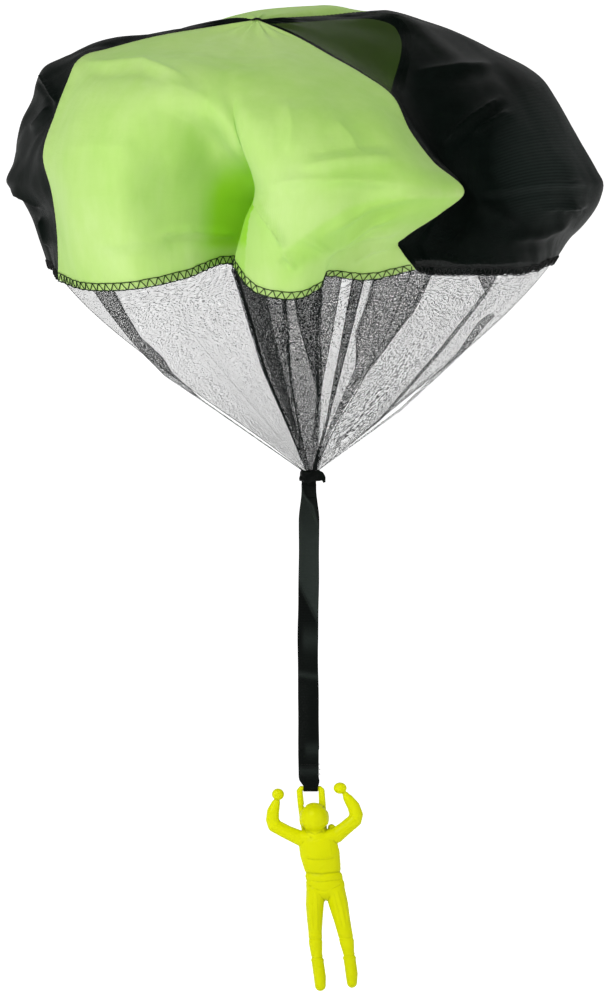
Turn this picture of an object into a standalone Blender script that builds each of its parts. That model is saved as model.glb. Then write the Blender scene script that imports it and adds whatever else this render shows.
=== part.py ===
"""Toy paratrooper, held up by the crown of its open canopy.

A four-gore cloth canopy, a net skirt sewn to its hem and gathered to a point, a
ribbon knotted round the gathered net, and a one-piece moulded figure that hangs
from the ribbon by the bail behind its head.

Metres, +Z up, front towards -Y. The origin is the crown, where the four gores meet.
"""

import bpy
import bmesh
import math
import numpy as np
from mathutils import Matrix, Vector

# ---------------------------------------------------------------- driving sizes
UNIT = 0.000478        # one unit of the front elevation used below
CROWN_U, CROWN_V = 257.0, 19.0
SIGHT = math.tan(math.radians(4.0))  # the elevation is drawn from 4 degrees above

CLOTH = 0.0004         # canopy cloth, with its coating
NET = 0.0003           # tulle
SEAM_R = 0.0009        # rolled seam allowance with its thread
NET_SEAM_R = 0.0007
SEAM_TRIM = 0.0014     # cloth stops this far from the seam line
NET_TRIM = 0.0012
HEM_TALL = 0.0034      # height of the overlocked band along the hem
HEM_THICK = 0.0012
GAP = 0.0003

GATHER = (311.0, 469.0, 5.0)   # where the net comes together
GATHER_R = 0.0040
RIBBON_WIDE = 0.0095   # 3/8 inch ribbon
RIBBON_THICK = 0.0007
BAR_R = 0.0011         # cross bar of the bail
BAR_U, BAR_V = 310.6, 789.0
HANG_DEPTH = 5.0       # the ribbon and the figure's bail hang this far behind the crown


def place(u, v, depth):
    """Front elevation units and a depth in millimetres, to metres in the part's frame."""
    y = depth / 1000.0
    return np.array([(u - CROWN_U) * UNIT, y, -(v - CROWN_V) * UNIT - y * SIGHT])


# ---------------------------------------------------------------- canopy surface
# Each rib runs down the cloth from the crown to the hem. The figures are the
# elevation's u and v, then the depth in millimetres, front negative.
CROWN = (257, 19, 0)
SEAM_FRONT_LEFT = [CROWN, (207, 27, -3), (156, 36, -8), (107, 49, -15), (84, 56, -21),
                   (77, 62, -24), (68, 82, -28), (56, 114, -34), (44, 158, -40), (52, 190, -39),
                   (58, 236, -36), (59, 277, -35)]
SEAM_FRONT_RIGHT = [CROWN, (296, 36, -8), (329, 55, -20), (363, 75, -36), (393, 98, -52),
                    (410, 133, -67), (432, 163, -78), (463, 195, -86), (441, 214, -84),
                    (405, 238, -76), (415, 266, -70)]
SEAM_BACK_RIGHT = [CROWN, (320, 14, 34), (381, 10, 62), (403, 22, 84), (408, 48, 100),
                   (398, 88, 112), (386, 140, 118), (380, 200, 118), (378, 254, 108)]
SEAM_BACK_LEFT = [CROWN, (238, 17, 14), (205, 23, 38), (176, 40, 66), (157, 70, 88),
                  (147, 112, 103), (141, 160, 110), (141, 210, 108), (146, 262, 100)]

FRONT = [
    SEAM_FRONT_LEFT,
    [CROWN, (210, 30, -8), (160, 44, -28), (118, 63, -50), (93, 100, -68), (80, 150, -76),
     (78, 200, -77), (84, 248, -74), (92, 287, -70)],
    [CROWN, (220, 33, -11), (182, 49, -36), (148, 67, -64), (130, 100, -86), (121, 145, -97),
     (120, 195, -98), (127, 245, -92), (138, 286, -88)],
    [CROWN, (230, 34, -13), (203, 51, -42), (178, 73, -72), (168, 105, -88), (168, 145, -84),
     (172, 190, -73), (180, 235, -66), (188, 275, -64)],
    [CROWN, (238, 35, -14), (218, 54, -44), (202, 80, -75), (202, 112, -83), (214, 148, -63),
     (228, 188, -32), (230, 225, -20), (228, 260, -20)],
    [CROWN, (243, 36, -15), (229, 56, -46), (217, 84, -77), (221, 114, -87), (236, 145, -76),
     (256, 187, -44), (262, 225, -34), (258, 262, -34)],
    [CROWN, (248, 36, -16), (240, 58, -48), (231, 86, -78), (230, 118, -90), (243, 156, -95),
     (258, 197, -96), (248, 228, -90), (237, 266, -82)],
    [CROWN, (258, 37, -17), (262, 60, -50), (264, 90, -84), (268, 128, -104), (276, 168, -113),
     (282, 210, -116), (272, 252, -110), (262, 292, -102)],
    [CROWN, (266, 37, -17), (279, 60, -50), (291, 92, -83), (300, 130, -106), (306, 172, -116),
     (308, 215, -118), (304, 255, -113), (297, 296, -106)],
    [CROWN, (272, 37, -16), (292, 61, -48), (312, 93, -80), (326, 132, -104), (336, 176, -115),
     (336, 220, -114), (326, 254, -106), (319, 286, -99)],
    [CROWN, (279, 37, -14), (306, 61, -42), (334, 93, -72), (354, 132, -96), (370, 178, -109),
     (360, 222, -104), (338, 252, -92), (326, 275, -84)],
    [CROWN, (288, 37, -11), (320, 58, -32), (352, 85, -56), (378, 118, -80), (402, 160, -97),
     (420, 192, -102), (398, 224, -96), (376, 250, -84), (369, 278, -77)],
    SEAM_FRONT_RIGHT,
]
RIGHT = [
    SEAM_FRONT_RIGHT,
    [CROWN, (304, 33, -2), (350, 52, -8), (392, 78, -18), (420, 106, -30), (436, 138, -42),
     (446, 172, -54), (444, 200, -58), (432, 232, -60), (428, 271, -62)],
    [CROWN, (320, 29, 6), (380, 43, 2), (430, 68, -8), (462, 102, -26), (482, 142, -44),
     (492, 185, -58), (486, 230, -63), (474, 272, -62)],
    [CROWN, (328, 24, 14), (395, 30, 16), (458, 54, 8), (506, 92, -10), (536, 136, -28),
     (552, 182, -42), (540, 230, -44), (522, 271, -42)],
    [CROWN, (334, 20, 20), (399, 14, 28), (440, 25, 32), (490, 50, 32), (527, 69, 26), (540, 79, 22),
     (554, 100, 14), (574, 137, 3), (594, 172, -5), (600, 183, -6), (597, 199, -7), (580, 224, -8),
     (562, 243, -8), (552, 261, -8)],
    [CROWN, (334, 17, 25), (398, 12, 40), (448, 34, 60), (508, 76, 66), (550, 124, 60),
     (574, 172, 54), (578, 208, 48), (560, 240, 40), (548, 257, 38)],
    [CROWN, (331, 15, 29), (395, 11, 50), (436, 36, 76), (474, 82, 90), (496, 138, 94),
     (504, 194, 90), (492, 232, 82), (482, 257, 78)],
    [CROWN, (326, 14, 32), (389, 10, 57), (421, 30, 83), (438, 66, 100), (440, 118, 110),
     (446, 180, 113), (430, 228, 104), (428, 254, 98)],
    SEAM_BACK_RIGHT,
]
BACK = [
    SEAM_BACK_RIGHT,
    [CROWN, (304, 11, 28), (350, 6, 54), (366, 20, 84), (366, 52, 107), (358, 100, 122),
     (352, 155, 128), (346, 210, 124), (344, 252, 112)],
    [CROWN, (290, 10, 29), (316, 6, 58), (326, 22, 90), (326, 56, 115), (320, 108, 130),
     (316, 165, 132), (308, 215, 124), (306, 254, 108)],
    [CROWN, (276, 12, 28), (288, 7, 58), (290, 26, 92), (286, 62, 117), (276, 112, 132),
     (270, 168, 136), (268, 215, 132), (268, 254, 122)],
    [CROWN, (262, 12, 26), (258, 11, 55), (252, 32, 88), (244, 66, 112), (236, 114, 126),
     (230, 168, 128), (228, 215, 120), (230, 258, 106)],
    [CROWN, (250, 14, 22), (232, 16, 48), (212, 36, 80), (200, 70, 103), (190, 114, 118),
     (184, 165, 124), (186, 212, 122), (190, 258, 112)],
    SEAM_BACK_LEFT,
]
LEFT = [
    SEAM_BACK_LEFT,
    [CROWN, (230, 18, 12), (186, 27, 32), (144, 46, 54), (116, 80, 74), (100, 128, 84),
     (94, 180, 84), (98, 225, 78), (106, 264, 70)],
    [CROWN, (226, 19, 8), (172, 28, 20), (112, 46, 36), (70, 78, 50), (50, 118, 56),
     (42, 165, 58), (48, 205, 50), (64, 240, 44), (72, 266, 40)],
    [CROWN, (222, 20, 3), (167, 30, 8), (88, 47, 14), (62, 58, 14), (43, 69, 14), (38, 80, 15),
     (35, 96, 16), (23, 121, 18), (17, 142, 17), (13, 161, 15), (6, 181, 10), (22, 200, 6),
     (31, 217, 4), (38, 238, 2), (46, 264, 0)],
    [CROWN, (218, 23, 0), (160, 33, 0), (90, 50, -4), (50, 80, -8), (40, 112, -10),
     (28, 158, -12), (26, 184, -14), (44, 206, -17), (50, 238, -18), (54, 268, -18)],
    SEAM_FRONT_LEFT,
]
GORES = [("front", FRONT), ("right", RIGHT), ("back", BACK), ("left", LEFT)]
DENSE = 361
# The slack cloth at the back hangs in flutes: first rib, last rib, waves, depth.
FLUTES = {"back": [(0.0, 6.0, 3, 0.0105)], "left": [(0.0, 2.7, 2, 0.0105)], "right": [(5.2, 8.0, 2, 0.006)]}
AXIS_X, AXIS_Y = 0.022, 0.008          # the canopy's middle, seen from above


def tangents(p):
    """Slopes along each row of points, allowing for uneven spacing. p is (rows, points, 3)."""
    step = np.linalg.norm(np.diff(p, axis=1), axis=2)[..., None] + 1e-9
    slope = np.diff(p, axis=1) / step
    m = np.empty_like(p)
    m[:, 0], m[:, -1] = slope[:, 0], slope[:, -1]
    m[:, 1:-1] = (slope[:, :-1] * step[:, 1:] + slope[:, 1:] * step[:, :-1]) / (step[:, :-1] + step[:, 1:])
    return m, step


def hermite(p, m, step, at):
    """The smooth curve through each row of p, at the parameters in at, which count the points."""
    i = np.clip(np.floor(at).astype(int), 0, p.shape[1] - 2)
    f = (at - i)[..., None]
    r = np.arange(p.shape[0])[:, None]
    a, b = p[r, i], p[r, i + 1]
    ma, mb = m[r, i] * step[r, i], m[r, i + 1] * step[r, i]
    return ((2 * f**3 - 3 * f**2 + 1) * a + (f**3 - 2 * f**2 + f) * ma
            + (-2 * f**3 + 3 * f**2) * b + (f**3 - f**2) * mb)


def rib(points):
    """DENSE points evenly spaced along one rib, in metres."""
    p = np.array([place(*q) for q in points])[None]
    m, step = tangents(p)
    fine = hermite(p, m, step, np.linspace(0, len(points) - 1, 40 * (len(points) - 1) + 1)[None])[0]
    run = np.concatenate([[0], np.cumsum(np.linalg.norm(np.diff(fine, axis=0), axis=1))])
    want = np.linspace(0, run[-1], DENSE)
    return np.stack([np.interp(want, run, fine[:, k]) for k in range(3)], axis=1)


class Gore:
    """One panel of the canopy: across counts its ribs, down runs from 0 at the crown to 1 at the hem."""

    def __init__(self, ribs, flutes=()):
        self.flutes = flutes
        self.ribs = np.array([rib(r) for r in ribs]).transpose(1, 0, 2)  # (down, rib, 3)
        self.m, self.step = tangents(self.ribs)
        self.last = self.ribs.shape[1] - 1

    def at(self, across, down):
        """across (rows, points) and down (rows) to points (rows, points, 3)."""
        x = np.asarray(down) * (DENSE - 1)
        i = np.clip(np.floor(x).astype(int), 0, DENSE - 2)
        f = (x - i)[:, None, None]
        a = hermite(self.ribs[i], self.m[i], self.step[i], across)
        b = hermite(self.ribs[i + 1], self.m[i + 1], self.step[i + 1], across)
        p = a * (1 - f) + b * f
        for first, last, waves, deep in self.flutes:
            x = np.clip((across - first) / (last - first), 0, 1)
            grow = np.clip((np.asarray(down)[:, None] - 0.35) / 0.6, 0, 1)
            grow = grow * grow * (3 - 2 * grow)
            out = p - np.array([AXIS_X, AXIS_Y, 0])
            out[..., 2] = 0
            out /= np.linalg.norm(out, axis=2)[..., None] + 1e-9
            p = p + out * (deep * grow * np.sin(2 * math.pi * waves * x))[..., None]
        return p


def trimmed(row_points, spread, trim):
    """Where a row of points stands trim metres in from each end, as the share of spread."""
    run = np.concatenate([[0], np.cumsum(np.linalg.norm(np.diff(row_points, axis=0), axis=1))])
    return np.interp(trim, run, spread), np.interp(run[-1] - trim, run, spread)


# ---------------------------------------------------------------- scene helpers
for old in list(bpy.data.objects):
    bpy.data.objects.remove(old, do_unlink=True)

toy = bpy.data.collections.new("toy_paratrooper")
bpy.context.scene.collection.children.link(toy)


def material(name, colour, roughness, metallic=0.0):
    m = bpy.data.materials.new(name)
    m.use_nodes = True
    shader = m.node_tree.nodes["Principled BSDF"]
    shader.inputs["Base Color"].default_value = (*colour, 1.0)
    shader.inputs["Roughness"].default_value = roughness
    shader.inputs["Metallic"].default_value = metallic
    m.diffuse_color = (*colour, 1.0)
    return m


def add(name, data, mat, parent=None):
    obj = bpy.data.objects.new(name, data)
    toy.objects.link(obj)
    obj.data.materials.append(mat)
    if parent is not None:
        obj.parent = parent
        obj.matrix_parent_inverse = parent.matrix_world.inverted()
    return obj


def pivot(name, where, parent=None):
    """An empty on a joint's axis, which carries the pieces below that joint."""
    e = bpy.data.objects.new(name, None)
    e.empty_display_size = 0.01
    toy.objects.link(e)
    e.matrix_world = Matrix.Translation(Vector(where))
    if parent is not None:
        e.parent = parent
        e.matrix_parent_inverse = parent.matrix_world.inverted()
    bpy.context.view_layer.update()
    return e


def cloth_sheet(name, points, thick, mat, parent=None):
    """A grid laid on points (rows, columns, 3) and given its thickness."""
    rows, columns = points.shape[:2]
    bm = bmesh.new()
    bmesh.ops.create_grid(bm, x_segments=columns - 1, y_segments=rows - 1, size=1.0)
    bm.verts.ensure_lookup_table()
    for vert in list(bm.verts):
        c = round((vert.co.x + 1) / 2 * (columns - 1))
        r = round((vert.co.y + 1) / 2 * (rows - 1))
        vert.co = Vector(points[r, c])
    data = bpy.data.meshes.new(name)
    bm.to_mesh(data)
    bm.free()
    obj = add(name, data, mat, parent)
    shell = obj.modifiers.new("thickness", "SOLIDIFY")
    shell.thickness = thick
    shell.offset = 0.0
    shell.use_even_offset = False
    for p in data.polygons:
        p.use_smooth = True
    return obj


def round_cord(name, points, radius, mat, parent=None):
    data = bpy.data.curves.new(name, "CURVE")
    data.dimensions = "3D"
    spline = data.splines.new("POLY")
    spline.points.add(len(points) - 1)
    for i, p in enumerate(points):
        spline.points[i].co = (*p, 1.0)
    data.bevel_depth = radius
    data.bevel_resolution = 1
    data.use_fill_caps = True
    return add(name, data, mat, parent)


GREEN = material("green_cloth", (0.40, 0.74, 0.15), 0.55)
BLACK = material("black_cloth", (0.018, 0.021, 0.021), 0.5)
THREAD = material("dark_thread", (0.012, 0.030, 0.012), 0.7)
TULLE = material("black_net", (0.02, 0.02, 0.02), 0.8)
RIBBON = material("black_ribbon", (0.012, 0.014, 0.014), 0.45)
YELLOW = material("yellow_plastic", (0.68, 0.74, 0.0), 0.42)

# ---------------------------------------------------------------- canopy
DOWN_CLOTH = 20        # rows of faces in each gore
START = 0.022          # the gores stop short of the crown stitching
gores = {name: Gore(ribs, FLUTES.get(name, ())) for name, ribs in GORES}
colours = {"front": GREEN, "right": BLACK, "back": GREEN, "left": BLACK}
across_faces = {"front": 30, "right": 26, "back": 27, "left": 24}
spread_fine = np.linspace(0, 1, 241)
hem_points = {}

def picked(points, at):
    """Points of a finely spaced line at shares of its spread."""
    return np.stack([np.interp(at, spread_fine, points[:, k]) for k in range(3)], axis=1)


for name, gore in gores.items():
    n = across_faces[name]
    # the hem line, and its direction down the cloth
    line = gore.at((spread_fine * gore.last)[None], np.array([1.0]))[0]
    above = gore.at((spread_fine * gore.last)[None], np.array([0.975]))[0]
    down_way = (line - above) / np.linalg.norm(line - above, axis=1)[:, None]
    hem_points[name] = (line, down_way)

    # the cloth stops just above the overlocked band
    shortest = np.linalg.norm(np.diff(gore.ribs, axis=0), axis=2).sum(axis=0).min()
    downs = np.linspace(START, 1 - 0.006 / shortest, DOWN_CLOTH)
    rows = list(gore.at(np.tile(spread_fine * gore.last, (len(downs), 1)), downs))
    rows.append(line - down_way * (HEM_TALL / 2 + GAP + 0.0002))
    sheet = []
    for row in rows:
        a, b = trimmed(row, spread_fine, SEAM_TRIM)
        sheet.append(picked(row, np.linspace(a, b, n + 1)))
    cloth_sheet(f"canopy_gore_{name}", np.array(sheet), CLOTH, colours[name])

    # the overlocked band
    a, b = trimmed(line, spread_fine, GAP / 2 + 0.0002)
    at = np.linspace(a, b, int(n * 1.6) + 1)
    mid, way = picked(line, at), picked(down_way, at)
    way /= np.linalg.norm(way, axis=1)[:, None]
    band = np.stack([mid - way * HEM_TALL / 2, mid + way * HEM_TALL / 2])
    cloth_sheet(f"hem_overlock_{name}", band, HEM_THICK, THREAD)

seam_ribs = {"front_left": SEAM_FRONT_LEFT, "front_right": SEAM_FRONT_RIGHT,
             "back_right": SEAM_BACK_RIGHT, "back_left": SEAM_BACK_LEFT}
for name, ribs in seam_ribs.items():
    path = rib(ribs)
    run = np.linalg.norm(np.diff(path, axis=0), axis=1).sum()
    stop = 1 - (HEM_TALL / 2 + GAP + 0.0004) / run
    at = np.linspace(START, stop, 30) * (DENSE - 1)
    path = np.stack([np.interp(at, np.arange(DENSE), path[:, k]) for k in range(3)], axis=1)
    round_cord(f"canopy_seam_{name}", path, SEAM_R, THREAD)

bm = bmesh.new()
bmesh.ops.create_cone(bm, cap_ends=True, segments=20, radius1=0.0026, radius2=0.0022,
                      depth=0.0012, matrix=Matrix.Translation((0, 0, -0.0006)))
crown = bpy.data.meshes.new("crown_stitching")
bm.to_mesh(crown)
bm.free()
add("crown_stitching", crown, THREAD)

# ---------------------------------------------------------------- net skirt
gather = place(*GATHER)
NET_DOWN = 8
BELLY = 0.16           # how far the net bows outward


def net_line(top, ring, f, belly):
    """Points on the net's way from the hem to the gather, with the slight outward belly of hanging net."""
    middle = (1 - f) * top + f * ring
    out = middle - gather
    out = out * np.array([1, 1, 0])
    return middle + out * belly * (f * (1 - f))


def ring_point(top):
    """Where the net from this stretch of hem comes in at the gather."""
    d = top - gather
    a = np.arctan2(d[..., 1], d[..., 0])
    return gather + np.stack([np.cos(a), np.sin(a), np.zeros_like(a)], axis=-1) * GATHER_R


# The way round the gather follows the way round the hem, so that the panels don't cross there.
ring_angle = {"front": (math.radians(195), math.radians(290)), "right": (math.radians(-70), math.radians(56)),
              "back": (math.radians(56), math.radians(132)), "left": (math.radians(132), math.radians(195))}


def ring_at(name, share):
    a0, a1 = ring_angle[name]
    a = a0 + (a1 - a0) * share
    return gather + np.stack([np.cos(a), np.sin(a), np.zeros_like(a)], axis=-1) * GATHER_R


for name, gore in gores.items():
    line, down_way = hem_points[name]
    top = line + down_way * (HEM_TALL / 2 + 0.0001)
    n = across_faces[name]
    fs = np.linspace(0.004, 1.0, NET_DOWN + 1)
    run = np.concatenate([[0], np.cumsum(np.linalg.norm(np.diff(line, axis=0), axis=1))])
    share = run / run[-1]
    rows = []
    for f in fs:
        row = net_line(top, ring_at(name, share), f, BELLY)
        a, b = trimmed(row, spread_fine, NET_TRIM)
        at = np.linspace(a, b, n + 1)
        rows.append(picked(row, at))
    rows = np.array(rows)
    rows[0, :, 2] -= GAP
    cloth_sheet(f"net_panel_{name}", rows, NET, TULLE)

starts = {"front_left": ("front", 0.0), "front_right": ("right", 0.0),
          "back_right": ("back", 0.0), "back_left": ("left", 0.0)}
for name, (gore_name, share) in starts.items():
    line, down_way = hem_points[gore_name]
    top = (line + down_way * (HEM_TALL / 2 + 0.0001))[0]
    ring = ring_at(gore_name, np.array(share))
    path = [net_line(top, ring, f, BELLY) for f in np.linspace(0.008, 1.0, 9)]
    round_cord(f"net_seam_{name}", np.array(path), NET_SEAM_R, THREAD)

# ---------------------------------------------------------------- gather and ribbon
neck_z = gather[2] - 0.0004 - NET_SEAM_R   # top of the knot
KNOT_TALL = 0.0048
KNOT_FLAT = 0.80                           # the knot is flatter front to back

bm = bmesh.new()
bmesh.ops.create_cone(bm, cap_ends=True, segments=24, radius1=0.0028, radius2=0.0030, depth=KNOT_TALL - 0.0008,
                      matrix=Matrix.Translation((gather[0], gather[1], neck_z - KNOT_TALL / 2))
                      @ Matrix.Diagonal((1, KNOT_FLAT, 1, 1)))
bundle = bpy.data.meshes.new("net_gathered_end")
bm.to_mesh(bundle)
bm.free()
add("net_gathered_end", bundle, TULLE)

# the ribbon's turn round the gathered net, as a turned ring, flattened
profile = [(0.0034, -0.0024), (0.0052, -0.0024), (0.0059, -0.0017), (0.0061, 0.0), (0.0059, 0.0017),
           (0.0052, 0.0024), (0.0034, 0.0024)]
bm = bmesh.new()
verts = [bm.verts.new((r, 0, z)) for r, z in profile]
for a, b in zip(verts, verts[1:] + verts[:1]):
    bm.edges.new((a, b))
ring_mesh = bpy.data.meshes.new("ribbon_knot")
bm.to_mesh(ring_mesh)
bm.free()
knot = add("ribbon_knot", ring_mesh, RIBBON)
turn = knot.modifiers.new("turn", "SCREW")
turn.axis = "Z"
turn.angle = math.radians(360)
turn.steps = turn.render_steps = 28
turn.use_merge_vertices = True
turn.merge_threshold = 0.00001
turn.use_normal_calculate = True
knot.location = (gather[0], gather[1], neck_z - KNOT_TALL / 2)
knot.scale = (1.0, KNOT_FLAT, 1.0)

# the ribbon's free tail, lying over the right side of the knot
tail_x = gather[0] + 0.0047
tail = []
for x, z in ((-0.0028, -0.0012), (0.0, -0.0010), (0.0020, -0.0020), (0.0027, -0.0044), (0.0022, -0.0068)):
    tail.append((tail_x + x, z))
front_y = gather[1] - 0.0061 * KNOT_FLAT - 0.0009
tail_rows = np.array([[(x, front_y + 0.0002 * k, neck_z + z) for k, (x, z) in enumerate(tail)],
                      [(x - 0.0006, front_y + 0.0002 * k, neck_z + z - 0.0032) for k, (x, z) in enumerate(tail)]])
cloth_sheet("ribbon_knot_tail", tail_rows, RIBBON_THICK, RIBBON)

ribbon_x = place(308.5, 600, HANG_DEPTH)[0]
hang_y = HANG_DEPTH / 1000.0
bar = place(BAR_U, BAR_V, HANG_DEPTH)
knot_low = neck_z - KNOT_TALL
NECK_R = 0.0036
side_z = knot_low - 0.0004 - NECK_R        # axis of the sideways swing, in the pinched neck
fore_z = side_z - 0.0090                   # axis of the fore and aft swing
bend_z = place(0, 585, HANG_DEPTH)[2]      # the ribbon folds here
twist_z = place(0, 675, HANG_DEPTH)[2]     # and turns about its own length here
JOINT_GAP = 0.0005


def strip_outline(name, centre_z, outline, parent):
    """A flat piece of ribbon: a 2D outline in X and Z, given its thickness along Y."""
    data = bpy.data.curves.new(name, "CURVE")
    data.dimensions = "2D"
    data.fill_mode = "BOTH"
    data.extrude = RIBBON_THICK / 2
    spline = data.splines.new("POLY")
    spline.points.add(len(outline) - 1)
    for i, (x, z) in enumerate(outline):
        spline.points[i].co = (x, z, 0.0, 1.0)
    spline.use_cyclic_u = True
    obj = bpy.data.objects.new(name, data)
    toy.objects.link(obj)
    data.materials.append(RIBBON)
    obj.matrix_world = (Matrix.Translation((ribbon_x, hang_y, centre_z))
                        @ Matrix.Rotation(math.radians(90), 4, "X"))
    bpy.context.view_layer.update()
    if parent is not None:
        world = obj.matrix_world.copy()
        obj.parent = parent
        obj.matrix_parent_inverse = parent.matrix_world.inverted()
        obj.matrix_world = world
    return obj


side_pivot = pivot("pivot_side_swing", (ribbon_x, hang_y, side_z))
neck_outline = [(NECK_R * math.cos(a), NECK_R * math.sin(a)) for a in np.linspace(0, math.pi, 13)]
low = fore_z + JOINT_GAP - side_z
neck_outline += [(-0.0044, low + 0.0022), (-RIBBON_WIDE / 2, low), (RIBBON_WIDE / 2, low), (0.0044, low + 0.0022)]
strip_outline("ribbon_neck", side_z, neck_outline, side_pivot)

fore_pivot = pivot("pivot_fore_aft_swing", (ribbon_x, hang_y, fore_z), side_pivot)


def plain(top, bottom):
    w = RIBBON_WIDE / 2
    return [(-w, top), (-w, bottom), (w, bottom), (w, top)]


strip_outline("ribbon_upper", fore_z, plain(-JOINT_GAP, bend_z + JOINT_GAP - fore_z), fore_pivot)
bend_pivot = pivot("pivot_ribbon_bend", (ribbon_x, hang_y, bend_z), fore_pivot)
strip_outline("ribbon_middle", bend_z, plain(-JOINT_GAP, twist_z + GAP - bend_z), bend_pivot)
twist_pivot = pivot("pivot_ribbon_twist", (ribbon_x, hang_y, twist_z), bend_pivot)

# the lower ribbon goes down in front of the bar, under it, and back up behind itself
under_r = BAR_R + 0.0003 + RIBBON_THICK / 2
path = [(0.0, twist_z - GAP), (0.0, bar[2] + 0.016), (-0.0004, bar[2] + 0.010), (-under_r, bar[2] + 0.0026),
        (-under_r, bar[2])]
path += [(-under_r * math.cos(a), -under_r * math.sin(a) + bar[2]) for a in np.linspace(0, math.pi, 9)[1:-1]]
path += [(under_r, bar[2]), (under_r, bar[2] + 0.0026), (0.0013, bar[2] + 0.0080), (0.0011, bar[2] + 0.0125)]
width = []
for k, (y, z) in enumerate(path):
    near = abs(z - bar[2])
    width.append(0.0066 if near < 0.0030 else RIBBON_WIDE if near > 0.0075 else 0.0082)
rows = np.array([[(ribbon_x + (bar[0] - ribbon_x) * (1 if abs(z - bar[2]) < 0.009 else 0) + s * w / 2,
                   hang_y + y, z) for s in (-1, -0.33, 0.33, 1)] for (y, z), w in zip(path, width)])
cloth_sheet("ribbon_lower_loop", rows, RIBBON_THICK, RIBBON, twist_pivot)

# the row of stitches that closes the loop, lying on the ribbon's front
bm = bmesh.new()
bmesh.ops.create_cube(bm, size=1.0, matrix=Matrix.Translation((ribbon_x, hang_y - 0.0004 - RIBBON_THICK / 2 - 0.00065,
                                                              bar[2] + 0.0105))
                      @ Matrix.Diagonal((0.0080, 0.0006, 0.0014, 1)))
stitches = bpy.data.meshes.new("loop_stitching")
bm.to_mesh(stitches)
bm.free()
stitch_obj = add("loop_stitching", stitches, THREAD, twist_pivot)
edge = stitch_obj.modifiers.new("edges", "BEVEL")
edge.width = 0.0002
edge.segments = 2

# ---------------------------------------------------------------- figure
figure_pivot = pivot("pivot_figure_swing", bar, twist_pivot)
BODY = HANG_DEPTH - 3.0   # the torso stands this far in front of the bail's plane


def fig(u, v, back=0.0):
    """A point of the figure: its elevation, and millimetres behind the torso's middle."""
    return Vector(place(255 + u / 6.533, 760 + v / 6.533, BODY + back))


MM = 0.001
PX = UNIT / 6.533      # one unit of fig's own grid


one = bmesh.new()
bmesh.ops.create_uvsphere(one, u_segments=16, v_segments=10, radius=1.0)
unit_ball = bpy.data.meshes.new("unit_ball")
one.to_mesh(unit_ball)
one.free()


def ball(bm, centre, rx, ry, rz):
    """An ellipsoid, added to bm."""
    copy = unit_ball.copy()
    copy.transform(Matrix.Translation(centre) @ Matrix.Diagonal((rx, ry, rz, 1)))
    bm.from_mesh(copy)
    bpy.data.meshes.remove(copy)


def limb(bm, points):
    """Tapered round lengths with a ball at each point. points: (centre, half width, half depth)."""
    for c, rx, ry in points:
        ball(bm, c, rx, ry, (rx + ry) / 2)
    for (a, ax, ay), (b, bx, by) in zip(points, points[1:]):
        d = b - a
        steps = max(2, int(d.length / (0.45 * min(ax, ay, bx, by))))
        for k in range(1, steps):
            f = k / steps
            rx, ry = ax + (bx - ax) * f, ay + (by - ay) * f
            ball(bm, a + d * f, rx, ry, (rx + ry) / 2)


bm = bmesh.new()
# helmet and head, with the ear cups
ball(bm, fig(386, 380, -1.2), 93 * PX, 7.4 * MM, 96 * PX)
ball(bm, fig(303, 392, -0.6), 14 * PX, 2.6 * MM, 46 * PX)
ball(bm, fig(470, 386, -0.6), 14 * PX, 2.6 * MM, 46 * PX)
# neck and shoulders
limb(bm, [(fig(393, 470, 0.2), 66 * PX, 4.6 * MM), (fig(400, 515, 0.4), 84 * PX, 4.8 * MM)])
limb(bm, [(fig(318, 515, 0.4), 50 * PX, 3.9 * MM), (fig(400, 540, 0.4), 62 * PX, 5.0 * MM),
          (fig(510, 500, 0.4), 50 * PX, 3.9 * MM)])
# torso down to the hips
limb(bm, [(fig(412, 560, 0.2), 128 * PX, 5.4 * MM), (fig(424, 620, 0.0), 132 * PX, 5.5 * MM),
          (fig(437, 690, 0.0), 124 * PX, 5.1 * MM), (fig(446, 745, 0.1), 117 * PX, 4.8 * MM),
          (fig(453, 790, 0.1), 122 * PX, 5.0 * MM), (fig(460, 830, 0.2), 128 * PX, 5.2 * MM)])
# pack on the back
limb(bm, [(fig(405, 545, 4.6), 84 * PX, 2.8 * MM), (fig(428, 690, 4.4), 84 * PX, 2.8 * MM)])
ball(bm, fig(500, 445, 1.6), 24 * PX, 2.0 * MM, 20 * PX)
# arms, raised, with fists
limb(bm, [(fig(300, 520, 0.2), 52 * PX, 3.6 * MM), (fig(210, 480, 0.2), 46 * PX, 3.3 * MM),
          (fig(128, 436, 0.2), 46 * PX, 3.2 * MM), (fig(114, 398, 0.2), 44 * PX, 3.1 * MM),
          (fig(118, 345, 0.2), 41 * PX, 2.9 * MM), (fig(134, 296, 0.2), 30 * PX, 2.2 * MM),
          (fig(142, 275, 0.2), 23 * PX, 1.8 * MM)])
ball(bm, fig(150, 231, 0.0), 41 * PX, 2.8 * MM, 39 * PX)
limb(bm, [(fig(530, 500, 0.2), 54 * PX, 3.6 * MM), (fig(590, 452, 0.2), 48 * PX, 3.4 * MM),
          (fig(650, 402, 0.2), 48 * PX, 3.3 * MM), (fig(662, 365, 0.2), 45 * PX, 3.2 * MM),
          (fig(645, 312, 0.2), 42 * PX, 3.0 * MM), (fig(608, 258, 0.2), 32 * PX, 2.2 * MM),
          (fig(594, 238, 0.2), 24 * PX, 1.8 * MM)])
ball(bm, fig(556, 190, 0.0), 44 * PX, 2.8 * MM, 38 * PX)
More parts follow.
